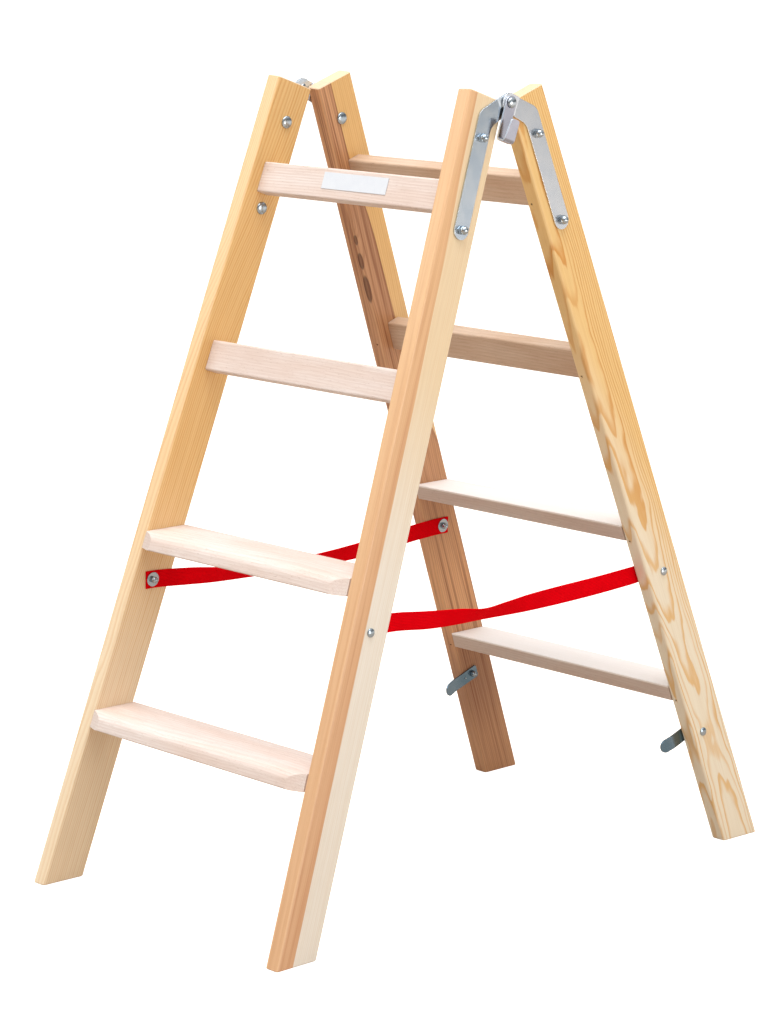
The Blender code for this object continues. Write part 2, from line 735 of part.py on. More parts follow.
def make_strap(side):
    """A webbing band in one vertical plane against the inner faces, with holes for its bolts."""
    name = f"strap_{side}"
    bm = bmesh.new()
    line = strap_line()
    rows = []
    for y, z in line:
        heights = (z - STRAP_WIDTH / 2, z, z + STRAP_WIDTH / 2)
        rows.append([bm.verts.new((SIDES[side] * strap_x(y, h), y, h)) for h in heights])
    for row, following in zip(rows, rows[1:]):
        for k in range(2):
            bm.faces.new((row[k], row[k + 1], following[k + 1], following[k]))
    bmesh.ops.recalc_face_normals(bm, faces=bm.faces)
    outward = sum((f.normal.x for f in bm.faces)) * SIDES[side] > 0
    mesh = bpy.data.meshes.new(name)
    bm.to_mesh(mesh)
    bm.free()
    obj = link_object(name, mesh, Matrix.Identity(4), FABRIC["red"])
    solid = obj.modifiers.new("webbing thickness", "SOLIDIFY")
    solid.thickness = STRAP_THICKNESS
    solid.offset = -1.0 if outward else 1.0
    for frame in FRAMES:
        boolean(obj, CUTTERS[frame, "bolts"], "DIFFERENCE", f"{frame} bolt hole")
    return obj


# ---------------------------------------------------------------- closing guides

def make_guide(side):
    """A flat bar on the rear stile's inner face, its round tip bent away from the stile."""
    name = f"closing_guide_{side}"
    half = GUIDE_WIDTH / 2
    tail = GUIDE_BOLT[0] + GUIDE_TAIL
    corner = 0.004
    points = arc((half - GUIDE_REACH, 0.0), half, 1.5 * pi, 0.5 * pi, 12)
    points += [(tail - corner, half), (tail, half - corner), (tail, corner - half), (tail - corner, -half)]
    bm = bmesh.new()
    bm.from_mesh(outline_mesh(name, points, GUIDE_THICKNESS))
    bend = GUIDE_TIP - GUIDE_REACH
    geometry = bm.verts[:] + bm.edges[:] + bm.faces[:]
    bmesh.ops.bisect_plane(bm, geom=geometry, plane_co=(bend, 0, 0), plane_no=(1, 0, 0))
    for v in bm.verts:
        y, z, layer = v.co
        lift = tan(GUIDE_TIP_BEND) * max(0.0, bend - y)
        v.co = Vector((-(FACE + GAP + layer + lift), y, z - GUIDE_BOLT[1]))
    mesh = apply_matrix(mesh_from(bm, name), stile_matrix("rear", side))
    obj = link_object(name, mesh, Matrix.Identity(4), METAL["zinc"], parent=FRAMES["rear"])
    boolean(obj, CUTTERS["rear", "bolts"], "DIFFERENCE", "holes")
    return obj


def make_guide_tack(side):
    """A small round tack beside the bolt, which stops the guide turning."""
    y, below = GUIDE_BOLT
    axis = stile_matrix("rear", side) @ across(0, y - GUIDE_TACK, -below, False)
    base = FACE + GUIDE_THICKNESS + 2 * GAP
    shank = 0.0008
    profile = dome(2 * shank, shank, base, 3) + [(shank, base), (shank, 0.003), (0.0, 0.001)]
    make_turned(f"closing_guide_tack_{side}", "rear", axis, profile, 8)


# ---------------------------------------------------------------- label

def make_label():
    """A blank sticker on the outer face of the front frame's first rung."""
    width, height = LABEL_SIZE
    _, face = rung_depth_range()
    middle = -LABEL_OFFSET
    top = -TOP_DROP - FIRST_RUNG - LABEL_DROP + height / 2
    low = (middle - width / 2, INNER_EDGE + face + GAP, top - height)
    high = (middle + width / 2, INNER_EDGE + face + GAP + LABEL_THICKNESS, top)
    link_object("rung_label", box_mesh("rung_label", low, high), Matrix.Identity(4), PAPER, parent=FRAMES["front"])


# ---------------------------------------------------------------- assembly

clear_scene()
PARTS = make_collection("double_sided_stepladder")
TOOLS = make_collection("cutters")

WOOD = {
    "stile_light": make_material("pine_light", (0.86, 0.66, 0.40), 0.45),
    "stile_dark": make_material("pine_dark", (0.66, 0.42, 0.22), 0.45),
    "rung": make_material("beech", (0.80, 0.62, 0.46), 0.50),
}
METAL = {
    "zinc": make_material("zinc_plate", (0.62, 0.66, 0.70), 0.30, 1.0),
}
FABRIC = {"red": make_material("red_webbing", (0.55, 0.01, 0.02), 0.85)}
PAPER = make_material("paper_label", (0.90, 0.90, 0.88), 0.60)

FRAMES = {"front": frame_empty("front_frame_axis", True), "rear": frame_empty("rear_frame_axis", False)}
CUTTERS = {}
TENONS = {}


def make_pin_cutter(frame):
    mesh = pins_mesh("pin_holes", frame, PIN_RADIUS + GAP, -0.01, PIN_LENGTH + GAP, 12)
    cutter = link_object(f"{frame}_pin_holes", mesh, Matrix.Identity(4), collection=TOOLS, parent=FRAMES[frame])
    hide_cutter(cutter)
    CUTTERS[frame, "pins"] = cutter


def make_rivet_cutter():
    bm = bmesh.new()
    for sign in SIDES.values():
        axis = Matrix.Rotation(sign * pi / 2, 4, "Y")
        cylinder(bm, axis, RIVET_RADIUS + GAP, face_x(0.0) - 0.02, face_x(0.0) + 0.014)
    cutter = link_object(
        "rivet_holes", mesh_from(bm, "rivet_holes"), Matrix.Translation((0, 0, HINGE_HEIGHT)), collection=TOOLS
    )
    hide_cutter(cutter)
    CUTTERS["rivets"] = cutter


make_rivet_cutter()
for frame in FRAMES:
    make_tenons_and_mortises(frame)
    make_pin_cutter(frame)
    make_bolt_cutter(frame)
    for side in SIDES:
        make_stile(frame, side)
        make_hinge_plate(frame, side)
        make_hinge_fasteners(frame, side)
        make_inside_fasteners(frame, side, "strap", STRAP_THICKNESS)
    for number in (1, 2):
        make_rung(frame, number)
    for number in (3, 4):
        make_tread(frame, number)
make_label()
make_bucket_hook()
for side in SIDES:
    make_rivet(side)
    make_strap(side)
    make_guide(side)
    make_guide_tack(side)
    make_inside_fasteners("rear", side, "guide", GUIDE_THICKNESS)
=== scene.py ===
import json
from math import acos, atan2, cos, hypot, pi, radians, sin, tan

import bmesh
import bpy
from mathutils import Matrix, Vector


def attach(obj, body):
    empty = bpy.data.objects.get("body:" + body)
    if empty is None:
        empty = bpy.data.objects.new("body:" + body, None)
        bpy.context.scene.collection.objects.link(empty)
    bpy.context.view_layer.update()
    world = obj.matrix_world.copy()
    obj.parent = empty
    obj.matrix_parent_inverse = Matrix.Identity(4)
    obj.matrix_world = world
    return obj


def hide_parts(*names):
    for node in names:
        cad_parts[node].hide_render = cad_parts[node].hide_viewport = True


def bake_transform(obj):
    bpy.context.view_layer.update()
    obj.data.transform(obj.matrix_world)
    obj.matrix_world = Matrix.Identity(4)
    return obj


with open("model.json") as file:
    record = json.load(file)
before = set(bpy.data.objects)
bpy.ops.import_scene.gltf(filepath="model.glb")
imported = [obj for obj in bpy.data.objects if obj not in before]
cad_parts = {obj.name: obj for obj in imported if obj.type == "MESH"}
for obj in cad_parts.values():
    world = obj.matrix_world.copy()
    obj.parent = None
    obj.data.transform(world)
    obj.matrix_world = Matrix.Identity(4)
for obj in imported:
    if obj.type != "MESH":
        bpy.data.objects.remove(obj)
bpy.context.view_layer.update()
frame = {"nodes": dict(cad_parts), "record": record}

# Camera: where it stands in metres, and how it is turned in degrees
CAMERA_PLACE = (3.6068, -3.3173, 1.5084)
CAMERA_AZIMUTH = 47.727
CAMERA_ELEVATION = 11.169
CAMERA_ROLL = 0.1615
CAMERA_LENS = 116.33

# The ladder's driving dimensions, as the frame has them
HINGE = Vector((0.0, 0.0, frame["record"]["behaviour"]["joints"][0]["pos_m"][2]))
LEAN = radians(19.66)
SPLAY = radians(2.8)
TOP_SPACING = 0.4151
FACE = 0.013                    # half a stile's width
STILE_DEPTH = 0.070
INNER_EDGE = 0.0055             # hinge axis to the inner edge of a stile
TOP_DROP = 0.0028               # hinge axis to the top of a stile
GAP = 0.0003
RUNG_TOPS = [0.128 + 0.279 * k for k in range(4)]
RUNGS = 2                       # the rest of a frame's steps are treads
RUNG_MIDDLE = 0.04              # hinge axis to the middle of a step's depth
SIDES = {"left": -1, "right": 1}    # the sign of each side's x
FRAMES = ("front", "rear")

# Pine
LATE_WOOD = (0.30, 0.78)        # where in a ring its dark end starts, and where it is full
OUTER_RINGS = 245.0             # rings a metre, out past the arches
KNOT_SWELL = 1.8                # rings pushed aside by a knot

# Hinges
PLATE_THICKNESS = 0.0025
PLATE_WIDTH = 0.028
PLATE_CENTRE = 0.0305           # from the stile's inner edge
PLATE_END = 0.209               # below the stile's top, as the corners are
PLATE_CORNERS = {"outer": 0.0250, "inner": 0.0400}
PLATE_ROUNDING = {"outer": 0.020, "inner": 0.022}
EYE_RADIUS = 0.0136
ARM_ANGLE = radians(43.6)
EYE_PLANE = {"front": 0.0009, "rear": 0.0009 + PLATE_THICKNESS + 0.0004}
RAMP = (0.0152, 0.0185)         # where the step to the eye starts and ends, from the hinge axis
STEEL_RIM = 0.0004              # rounding of a stamped edge
HINGE_BOLTS = {"upper": (PLATE_CENTRE, 0.061), "lower": (PLATE_CENTRE, 0.196)}
RIVET_SHANK = 0.0035
RIVET_HEAD = (0.0080, 0.0048)   # radius and height
RIVET_TAIL = (0.0054, 0.0018)

# Bucket hook
HOOK_WIDTH = 0.0195
HOOK_THICKNESS = 0.0028
HOOK_DROP = 0.0520
HOOK_BEND = 0.0050
HOOK_GAP = 0.0150
HOOK_LIP = 0.0280
HOOK_LIP_WIDTH = 0.0150
HOOK_LIP_LEAN = 0.11
HOOK_TILT = radians(-19.0)
HOOK_PLANE = EYE_PLANE["rear"] + PLATE_THICKNESS + GAP

# Straps and closing guides
STRAP_WIDTH = 0.027
STRAP_THICKNESS = 0.0018
STRAP_BOLT = (0.034, 0.7788)    # from the stile's inner edge, and down from its top
STRAP_TAIL = 0.012
WASHER = (0.0110, 0.0012)       # radius and thickness
GUIDE_WIDTH = 0.021
GUIDE_THICKNESS = 0.0025
GUIDE_BOLT = (0.0205, 1.0540)
GUIDE_REACH = 0.0445
GUIDE_TAIL = 0.0115
GUIDE_TIP = 0.025
GUIDE_TIP_BEND = radians(10.0)
GUIDE_TACK = 0.0165             # from the bolt to the tack
TACK = (0.0008, 0.0018, 0.0010)  # shank radius, head radius, head height

# Fasteners: shank radius, head radius, head height; nut radius over corners, hexagon height, whole height
HINGE_BOLT = (0.0030, 0.0095, 0.0040)
SMALL_BOLT = (0.0025, 0.0066, 0.0030)
HINGE_NUT = (0.0064, 0.0058, 0.0112)
SMALL_NUT = (0.0050, 0.0040, 0.0085)
THREAD_PAST_COLLAR = 0.002
ROUND = 40                      # sides of a turned piece
SMALL_ROUND = 20                # sides of a pin or tack

# Tenon pins
PIN_RADIUS = 0.0016
PIN_LENGTH = 0.040
PIN_BELOW_TOP = (0.031, 0.029, 0.026, 0.025)
PIN_INBOARD = 0.004
PIN_SUNK = 0.0008


# ---------------------------------------------------------------- shader graphs

class Value:
    """A socket in a material's graph. Sums and products of values add Math nodes."""

    def __init__(self, graph, socket):
        self.graph = graph
        self.socket = socket

    def __add__(self, other):
        return self.graph.math("ADD", self, other)

    def __radd__(self, other):
        return self.graph.math("ADD", other, self)

    def __sub__(self, other):
        return self.graph.math("SUBTRACT", self, other)

    def __rsub__(self, other):
        return self.graph.math("SUBTRACT", other, self)

    def __mul__(self, other):
        return self.graph.math("MULTIPLY", self, other)

    def __truediv__(self, other):
        return self.graph.math("DIVIDE", self, other)

    def __abs__(self):
        return self.graph.math("ABSOLUTE", self)


class Graph:
    """A material's or the world's node tree, with short ways to add nodes to it."""

    def __init__(self, owner):
        owner.use_nodes = True
        self.owner = owner
        self.tree = owner.node_tree
        self.shader = self.tree.nodes.get("Principled BSDF")

    def feed(self, socket, value):
        if isinstance(value, Value):
            self.tree.links.new(value.socket, socket)
        else:
            socket.default_value = value

    def node(self, kind, inputs, output=0, **settings):
        node = self.tree.nodes.new(kind)
        for key, value in settings.items():
            setattr(node, key, value)
        for key, value in inputs.items():
            self.feed(node.inputs[key], value)
        return Value(self, node.outputs[output])

    def math(self, operation, *values):
        return self.node("ShaderNodeMath", dict(enumerate(values)), operation=operation)

    def smooth(self, value, low, high, start=0.0, end=1.0):
        """start below low, end above high, and a soft step between them."""
        inputs = {"Value": value, "From Min": low, "From Max": high, "To Min": start, "To Max": end}
        return self.node("ShaderNodeMapRange", inputs, interpolation_type="SMOOTHSTEP")

    def stages(self, value, points):
        """A smooth curve through (value, result) points, whose values fall."""
        total = points[0][1]
        for before, after in zip(points, points[1:]):
            total = total + self.smooth(value, after[0], before[0], after[1] - before[1], 0.0)
        return total

    def vector(self, x, y, z):
        return self.node("ShaderNodeCombineXYZ", {"X": x, "Y": y, "Z": z})

    def split(self, vector):
        node = self.tree.nodes.new("ShaderNodeSeparateXYZ")
        self.feed(node.inputs[0], vector)
        return [Value(self, out) for out in node.outputs]

    def noise(self, vector, scale=1.0, detail=2.0, rough=0.5):
        inputs = {"Vector": vector, "Scale": scale, "Detail": detail, "Roughness": rough}
        return self.node("ShaderNodeTexNoise", inputs)

    def mix(self, share, first, second, blend="MIX"):
        inputs = {0: share, 6: first, 7: second}
        return self.node("ShaderNodeMix", inputs, 2, data_type="RGBA", blend_type=blend)

    def tint(self, share, colour, factors):
        """The colour with its channels multiplied by the factors, where share is 1."""
        return self.mix(share, colour, self.mix(1.0, colour, (*factors, 1), "MULTIPLY"))

    def bump(self, height, distance):
        return self.node("ShaderNodeBump", {"Height": height, "Distance": distance, "Strength": 1.0})

    def place(self, matrix):
        """Coordinates in the matrix's own axes, from the object's."""
        coordinates = self.node("ShaderNodeTexCoord", {}, 3)
        inputs = {
            "Vector": coordinates,
            "Location": matrix.translation,
            "Rotation": matrix.to_euler(),
        }
        return self.split(self.node("ShaderNodeMapping", inputs, vector_type="TEXTURE"))

    def set(self, **constants):
        for key, value in constants.items():
            self.feed(self.shader.inputs[key.replace("_", " ")], value)
        return self.owner


def new_material(name):
    return Graph(bpy.data.materials.new(name))


def srgb(red, green, blue):
    """A colour as a screen shows it, from 0 to 255, made linear."""
    linear = [((c / 255 + 0.055) / 1.055) ** 2.4 if c > 10 else c / 3295 for c in (red, green, blue)]
    return (*linear, 1.0)


# ---------------------------------------------------------------- where things are

def frame_sign(frame_name, side):
    """Sign of x in a frame's own coordinates: the front frame is the rear one turned about Z."""
    return SIDES[side] * (-1 if frame_name == "front" else 1)


def frame_matrix(frame_name):
    lean = Matrix.Translation(HINGE) @ Matrix.Rotation(LEAN, 4, "X")
    return (Matrix.Rotation(pi, 4, "Z") if frame_name == "front" else Matrix.Identity(4)) @ lean


def stile_matrix(frame_name, side):
    """x across the ladder, y from the stile's inner edge outward, z up along it from its top."""
    sign = frame_sign(frame_name, side)
    place = Matrix.Translation((sign * TOP_SPACING / 2, INNER_EDGE, -TOP_DROP))
    return frame_matrix(frame_name) @ place @ Matrix.Rotation(-sign * SPLAY, 4, "Y")


def across(frame_name, side, y, below, outward):
    """Axis through a stile: its z points away from the ladder's middle, or towards it."""
    turn = frame_sign(frame_name, side) * (1 if outward else -1) * pi / 2
    spot = Matrix.Translation((0, y, -below)) @ Matrix.Rotation(turn, 4, "Y")
    return stile_matrix(frame_name, side) @ spot


def inner_face(below):
    """How far a stile's inner face is from the ladder's middle, so far below the stile's top."""
    return TOP_SPACING / 2 - FACE / cos(SPLAY) + tan(SPLAY) * below


def outer_face(below):
    """The same for its outer face."""
    return TOP_SPACING / 2 + FACE / cos(SPLAY) + tan(SPLAY) * below


# ---------------------------------------------------------------- wood

def pine(name, place, look):
    """Sawn pine: growth rings round a pith line, seen wherever the board cuts them."""
    g = new_material(name)
    x, y, z = g.place(place)
    seed = look["seed"]
    slow = g.noise(g.vector(x * 9.0 + seed, y * 9.0, z * 1.3), 1.0, 2.0)
    ripple = g.noise(g.vector(x * 60.0, y * 60.0 + seed, z * 7.0), 1.0, 1.0)
    reaches = [knot_reach(g, x, y, z, *spot) for spot in look.get("knots", ())]
    age = ring_age(g, look, x, y, z, slow, ripple)
    for reach in reaches:
        age = age + g.math("EXPONENT", reach * reach * -0.22) * KNOT_SWELL
    line = late_wood(g, look, age) * look["contrast"]
    along = g.smooth(z + (y - STILE_DEPTH / 2) * look["skew"], look["fade"][1], look["fade"][0])
    light = g.mix(along, look["light"][1], look["light"][0])
    dark = g.mix(along, look["dark"][1], look["dark"][0])
    colour = g.mix(line, light, dark)
    if "heart" in look:
        depth = heart_depth(g, look["heart"], y, z, slow, ripple)
        brown = heart_colour(g, look, x, y, z, line, depth)
        colour = g.mix(g.smooth(depth, -0.0006, 0.0009), colour, brown)
    for reach in reaches:
        colour = knot(g, colour, reach + (ripple - 0.5) * 0.25)
    fibre = g.noise(g.vector(x * 900.0, y * 900.0, z * 12.0 + seed), 1.0, 3.0, 0.6)
    streak = g.noise(g.vector(x * 160.0, y * 160.0, z * 3.0 + seed), 1.0, 2.0)
    colour = g.tint(g.smooth(fibre, 0.35, 0.75, 0.0, 0.22), colour, (0.72, 0.60, 0.45))
    colour = g.tint(g.smooth(streak, 0.30, 0.80, 0.0, 0.16), colour, (0.86, 0.70, 0.50))
    # The outer edge face and the rounded edge beside it are painted paler: on the front stiles this is a
    # painted highlight on their brightly lit front edge faces; on the rear stiles it is a pale strip along
    # the outer edge.
    rim_share, rim_colour = look["rim"]
    outer_edge = g.smooth(y, STILE_DEPTH - 0.0030, STILE_DEPTH - 0.0004, 0.0, rim_share)
    colour = g.mix(outer_edge, colour, rim_colour)
    colour = g.mix(edge_share(g, x, y) * 0.12, colour, srgb(248, 226, 190))
    # Painted highlight: the stile's top end face, lit from above, and the last millimetre of the sides below
    # it are painted pale cream.
    lit_top_end = g.smooth(z, -0.0022, -0.0010, 0.0, 0.80)
    colour = g.mix(lit_top_end, colour, srgb(224, 196, 164))
    g.feed(g.shader.inputs["Base Color"], colour)
    g.feed(g.shader.inputs["Roughness"], g.smooth(fibre + line * 0.4, 0.2, 1.1, 0.36, 0.52))
    g.feed(g.shader.inputs["Normal"], g.bump(fibre * 0.5 + line, 0.00012))
    return g.set(Coat_Weight=0.12, Coat_Roughness=0.30, Specular_IOR_Level=0.4)


def ring_age(g, look, x, y, z, slow, ripple):
    """How many years the wood grew before this point did, with the grain's waves."""
    off_x = x - g.stages(z, look["pith_x"])
    off_y = y - g.stages(z, look["pith_y"])
    radius = g.math("SQRT", off_x * off_x + off_y * off_y)
    waves = g.noise(g.vector(x * 40.0, y * 42.0 + look["seed"], z * 11.0), 1.0, 2.0)
    if "arches" in look:
        core = g.math("MINIMUM", radius, g.stages(z, look["reach"]))
        age = core * core * core * g.stages(z, look["tight"]) + (radius - core) * OUTER_RINGS
        age = age + g.stages(z, look["arches"])
        return age + (slow - 0.5) * 2.4 + (waves - 0.5) * 1.7 + (ripple - 0.5) * 0.5
    wander = (slow - 0.5) * look["wander"] + (waves - 0.5) * 0.0035 + (ripple - 0.5) * 0.0008
    return (radius + wander - abs(z - look["arch_end"]) * look["taper"]) / look["ring"]


def late_wood(g, look, age):
    """The dark end of each year's ring, stronger in some years than in others."""
    phase = g.math("FRACT", age)
    late = g.smooth(phase, *look.get("late", LATE_WOOD)) * g.smooth(phase, 0.88, 1.0, 1.0, 0.0)
    year = g.noise(g.vector(g.math("FLOOR", age) * 3.7, look["seed"], 0.0), 1.0, 0.0)
    return late * g.smooth(year, 0.30, 0.70, 0.50, 1.0)


def edge_share(g, x, y):
    """1 on a stile's rounded long edges, 0 on its faces."""
    side = g.smooth(abs(x), FACE - 0.0035, FACE - 0.0005)
    rim = g.smooth(abs(y - STILE_DEPTH / 2), STILE_DEPTH / 2 - 0.0035, STILE_DEPTH / 2 - 0.0005)
    return side * rim


def heart_depth(g, heart, y, z, slow, ripple):
    """Distance into the heartwood from its border, which wavers along the stile."""
    border = g.stages(z, heart["border"]) + (slow - 0.5) * heart["waver"] + (ripple - 0.5) * 0.0015
    return (y - border) * heart["side"]


def heart_colour(g, look, x, y, z, line, depth):
    heart = look["heart"]
    base = g.mix(g.stages(z, heart["tone"]), heart["low"], heart["high"])
    streaks = g.noise(g.vector(x * 150.0, y * 170.0 + look["seed"], z * 2.4), 1.0, 3.0, 0.6)
    base = g.mix(g.smooth(streaks, 0.46, 0.72, 0.0, heart["streaks"]), base, heart["dark"])
    base = g.mix(g.smooth(depth, 0.001, 0.008, heart["streaks"] * 0.45, 0.0), base, heart["dark"])
    return g.mix(line * 0.6, base, heart["dark"])


def knot_reach(g, x, y, z, knot_y, knot_z, wide, tall):
    """Distance from a knot on the stile's inner corner, where the knot's rim is 1."""
    off_x = (x - FACE) / wide
    off_y = (y - knot_y) / wide
    off_z = (z - knot_z) / tall
    return g.math("SQRT", off_x * off_x + off_y * off_y + off_z * off_z)


def knot(g, colour, reach):
    """A small brown knot with a dark ring round it."""
    ring = g.smooth(reach, 0.62, 0.92) * g.smooth(reach, 0.94, 1.25, 1.0, 0.0)
    core = g.smooth(reach, 0.7, 1.05, 1.0, 0.0)
    colour = g.mix(core * 0.9, colour, srgb(112, 64, 34))
    return g.mix(ring * 0.75, colour, srgb(78, 40, 20))


def beech(name, place, look):
    """Steamed beech: pinkish, with short dark flecks along the grain and faint arched rings."""
    g = new_material(name)
    x, y, z = g.place(place)
    seed = look["seed"]
    slow = g.noise(g.vector(x * 2.2 + seed, y * 14.0, z * 14.0), 1.0, 2.0)
    off_y = y - look["pith"][0]
    off_z = z - look["pith"][1]
    radius = g.math("SQRT", off_y * off_y + off_z * off_z)
    age = (radius + (slow - 0.5) * 0.012 + abs(x - look["arch"]) * look["taper"]) / 0.0042
    phase = g.math("FRACT", age)
    line = g.smooth(phase, 0.25, 0.85) * g.smooth(phase, 0.88, 1.0, 1.0, 0.0) * look["contrast"]
    grain = g.noise(g.vector(x * 22.0 + seed, y * 900.0, z * 900.0), 1.0, 2.0, 0.6)
    fleck = g.noise(g.vector(x * 150.0, y * 1100.0 + seed, z * 1100.0), 1.0, 1.0)
    blotch = g.noise(g.vector(x * 5.0 + seed, y * 30.0, z * 30.0), 1.0, 2.0)
    colour = g.mix(g.smooth(blotch, 0.3, 0.7), look["light"], look["tint"])
    colour = g.mix(line, colour, look["dark"])
    colour = g.mix(g.smooth(grain, 0.35, 0.75, 0.0, 0.35), colour, look["dark"])
    colour = g.mix(g.smooth(fleck, 0.64, 0.74, 0.0, 0.34), colour, srgb(150, 108, 84))
    # Painted light on the rear treads: the top is painted paler, as lit from above, and the nose below it
    # darker and browner, as painted shade.
    if "top" in look:
        painted_lit_top = g.mix(0.70, colour, srgb(247, 241, 235))
        painted_shaded_nose = g.tint(1.0, colour, (0.80, 0.76, 0.72))
        colour = g.mix(g.smooth(z, look["top"] - 0.0040, look["top"] - 0.0012), painted_shaded_nose, painted_lit_top)
    g.feed(g.shader.inputs["Base Color"], colour)
    g.feed(g.shader.inputs["Roughness"], g.smooth(grain, 0.2, 0.9, 0.44, 0.60))
    g.feed(g.shader.inputs["Normal"], g.bump(grain * 0.6 - g.smooth(fleck, 0.62, 0.72) * 0.8, 0.00010))
    return g.set(Coat_Weight=0.05, Coat_Roughness=0.40, Specular_IOR_Level=0.35)


# pith_x and pith_y: where the pith line runs, as (z, place) points. ring: a year's width. taper: how fast
# the trunk thins away from arch_end. A stile with arches counts its rings by the cube of the distance from
# the pith instead: tight times the cube, as far as reach, plus the rings that arches gives at each z.
STILE_LOOKS = {
    # golden with close lines at the top, cream with long arches lower down
    ("rear", "right"): {
        "seed": 3.1,
        "pith_x": ((0.0, -0.004), (-0.70, 0.001)),
        "pith_y": ((0.0, 0.004), (-0.35, 0.012), (-0.75, 0.023), (-1.00, 0.033)),
        "tight": ((0.0, 190000.0), (-0.35, 130000.0), (-0.70, 90000.0), (-1.10, 70000.0)),
        "reach": ((0.0, 0.021), (-1.10, 0.034)),
        "arches": ((0.0, 0.0), (-0.15, 0.8), (-0.42, 3.0), (-0.64, 4.2), (-0.95, 7.2), (-1.08, 8.0),
                   (-1.22, 6.6)),
        "late": (0.46, 0.84), "contrast": 1.0,
        "light": (srgb(229, 190, 126), srgb(230, 216, 192)),
        "dark": (srgb(206, 142, 64), srgb(218, 172, 108)),
        "fade": (-0.42, -0.90), "skew": 4.5, "rim": (0.3, srgb(236, 204, 156)),
    },
    # cream sapwood, brown heartwood along the outer edge
    ("front", "right"): {
        "seed": 7.7,
        "pith_x": ((0.0, 0.030), (-1.2, 0.030)),
        "pith_y": ((0.0, 0.210), (-1.2, 0.210)),
        "wander": 0.010, "taper": 0.004, "arch_end": 0.3, "ring": 0.0034, "contrast": 0.26,
        "light": (srgb(227, 204, 168), srgb(229, 220, 207)),
        "dark": (srgb(222, 176, 118), srgb(218, 196, 162)),
        "fade": (-0.35, -0.75), "skew": 0.0, "rim": (0.25, srgb(236, 196, 148)),
        "heart": {
            "border": ((-0.05, 0.0545), (-0.30, 0.0475), (-0.50, 0.0445), (-1.2, 0.0430)),
            "waver": 0.004, "side": 1.0, "streaks": 0.45,
            "high": srgb(222, 178, 132), "low": srgb(214, 168, 128), "dark": srgb(186, 122, 78),
            "tone": ((-0.2, 1.0), (-1.1, 0.0)),
        },
    },
    # honey with upright orange lines
    ("front", "left"): {
        "seed": 12.4,
        "pith_x": ((0.0, 0.060), (-0.45, 0.030)),
        "pith_y": ((0.0, 0.100), (-0.45, 0.160)),
        "wander": 0.018, "taper": 0.020, "arch_end": -1.6, "ring": 0.0036, "contrast": 0.80,
        "light": (srgb(236, 194, 130), srgb(236, 214, 182)),
        "dark": (srgb(218, 154, 78), srgb(222, 182, 132)),
        "fade": (-0.55, -0.98), "skew": 0.0, "rim": (0.35, srgb(234, 214, 184)),
    },
    # brown heartwood towards the middle of the ladder, with knots, and pale sapwood outside
    ("rear", "left"): {
        "seed": 21.9,
        "pith_x": ((0.0, -0.020), (-1.0, -0.030)),
        "pith_y": ((0.0, -0.050), (-1.0, -0.090)),
        "wander": 0.014, "taper": 0.010, "arch_end": 0.2, "ring": 0.0038, "contrast": 0.60,
        "light": (srgb(233, 188, 122), srgb(232, 202, 160)),
        "dark": (srgb(214, 154, 84), srgb(216, 172, 122)),
        "fade": (-0.20, -0.85), "skew": 0.0, "rim": (0.75, srgb(238, 220, 196)),
        # y, z, half width and half height
        "knots": ((0.0006, -0.338, 0.0056, 0.021), (0.001, -0.290, 0.0044, 0.013),
                  (0.001, -0.254, 0.0032, 0.008)),
        "heart": {
            "border": ((-0.10, 0.0275), (-0.28, 0.0400), (-0.48, 0.0420), (-0.72, 0.0760), (-1.2, 0.0760)),
            "waver": 0.007, "side": -1.0, "streaks": 0.85,
            "high": srgb(220, 164, 116), "low": srgb(174, 126, 92), "dark": srgb(138, 80, 46),
            "tone": ((-0.05, 0.9), (-0.25, 0.45), (-0.72, 0.5), (-0.90, 1.0), (-1.08, 0.0), (-1.2, 0.4)),
        },
    },
}


def dress_stiles():
    for (frame_name, side), look in STILE_LOOKS.items():
        node = f"{frame_name}_stile_{side}"
        assign(frame["nodes"][node], pine(f"pine_{node}", stile_matrix(frame_name, side), look))


def dress_rungs():
    """Rungs lean with their frame and treads are level. The rear rungs are painted darker and browner, as
    shade on their front faces, and the rear treads get a painted highlight on their tops and painted shade on
    their noses.
    """
    for frame_name in FRAMES:
        rear = frame_name == "rear"
        for number, below in enumerate(RUNG_TOPS, 1):
            rung = number <= RUNGS
            node = f"{frame_name}_{'rung' if rung else 'tread'}_{number}"
            obj = frame["nodes"][node]
            middle = frame_matrix(frame_name) @ Vector((0, RUNG_MIDDLE, -below))
            tilt = frame_matrix(frame_name) if rung else Matrix.Rotation(0 if rear else pi, 4, "Z")
            # Painted shade: the rear rungs get darker, browner colours, standing for the shade on their front
            # faces, which tilt down and away from the lights.
            brown = rear and rung
            look = {
                "seed": 3.7 * number + (20.0 if rear else 0.0),
                "pith": (0.020 + 0.01 * number, -0.055 - 0.012 * number),
                "arch": 0.12 - 0.07 * number,
                "taper": 0.020,
                "contrast": 0.18 if rear or number > 1 else 0.30,
                "light": srgb(207, 181, 157) if brown else srgb(226, 213, 205),
                "tint": srgb(197, 165, 137) if brown else srgb(220, 200, 188),
                "dark": srgb(162, 126, 100) if brown else srgb(192, 162, 144),
            }
            # The height of a rear tread's top, where its painted pale top meets its painted shaded nose.
            if rear and not rung:
                look["top"] = max((obj.matrix_world @ v.co).z for v in obj.data.vertices) - middle.z
            place = Matrix.Translation(middle) @ tilt.to_3x3().to_4x4()
            assign(obj, beech(f"beech_{node}", place, look))


def assign(obj, material):
    obj.data.materials.clear()
    obj.data.materials.append(material)


# ---------------------------------------------------------------- steel

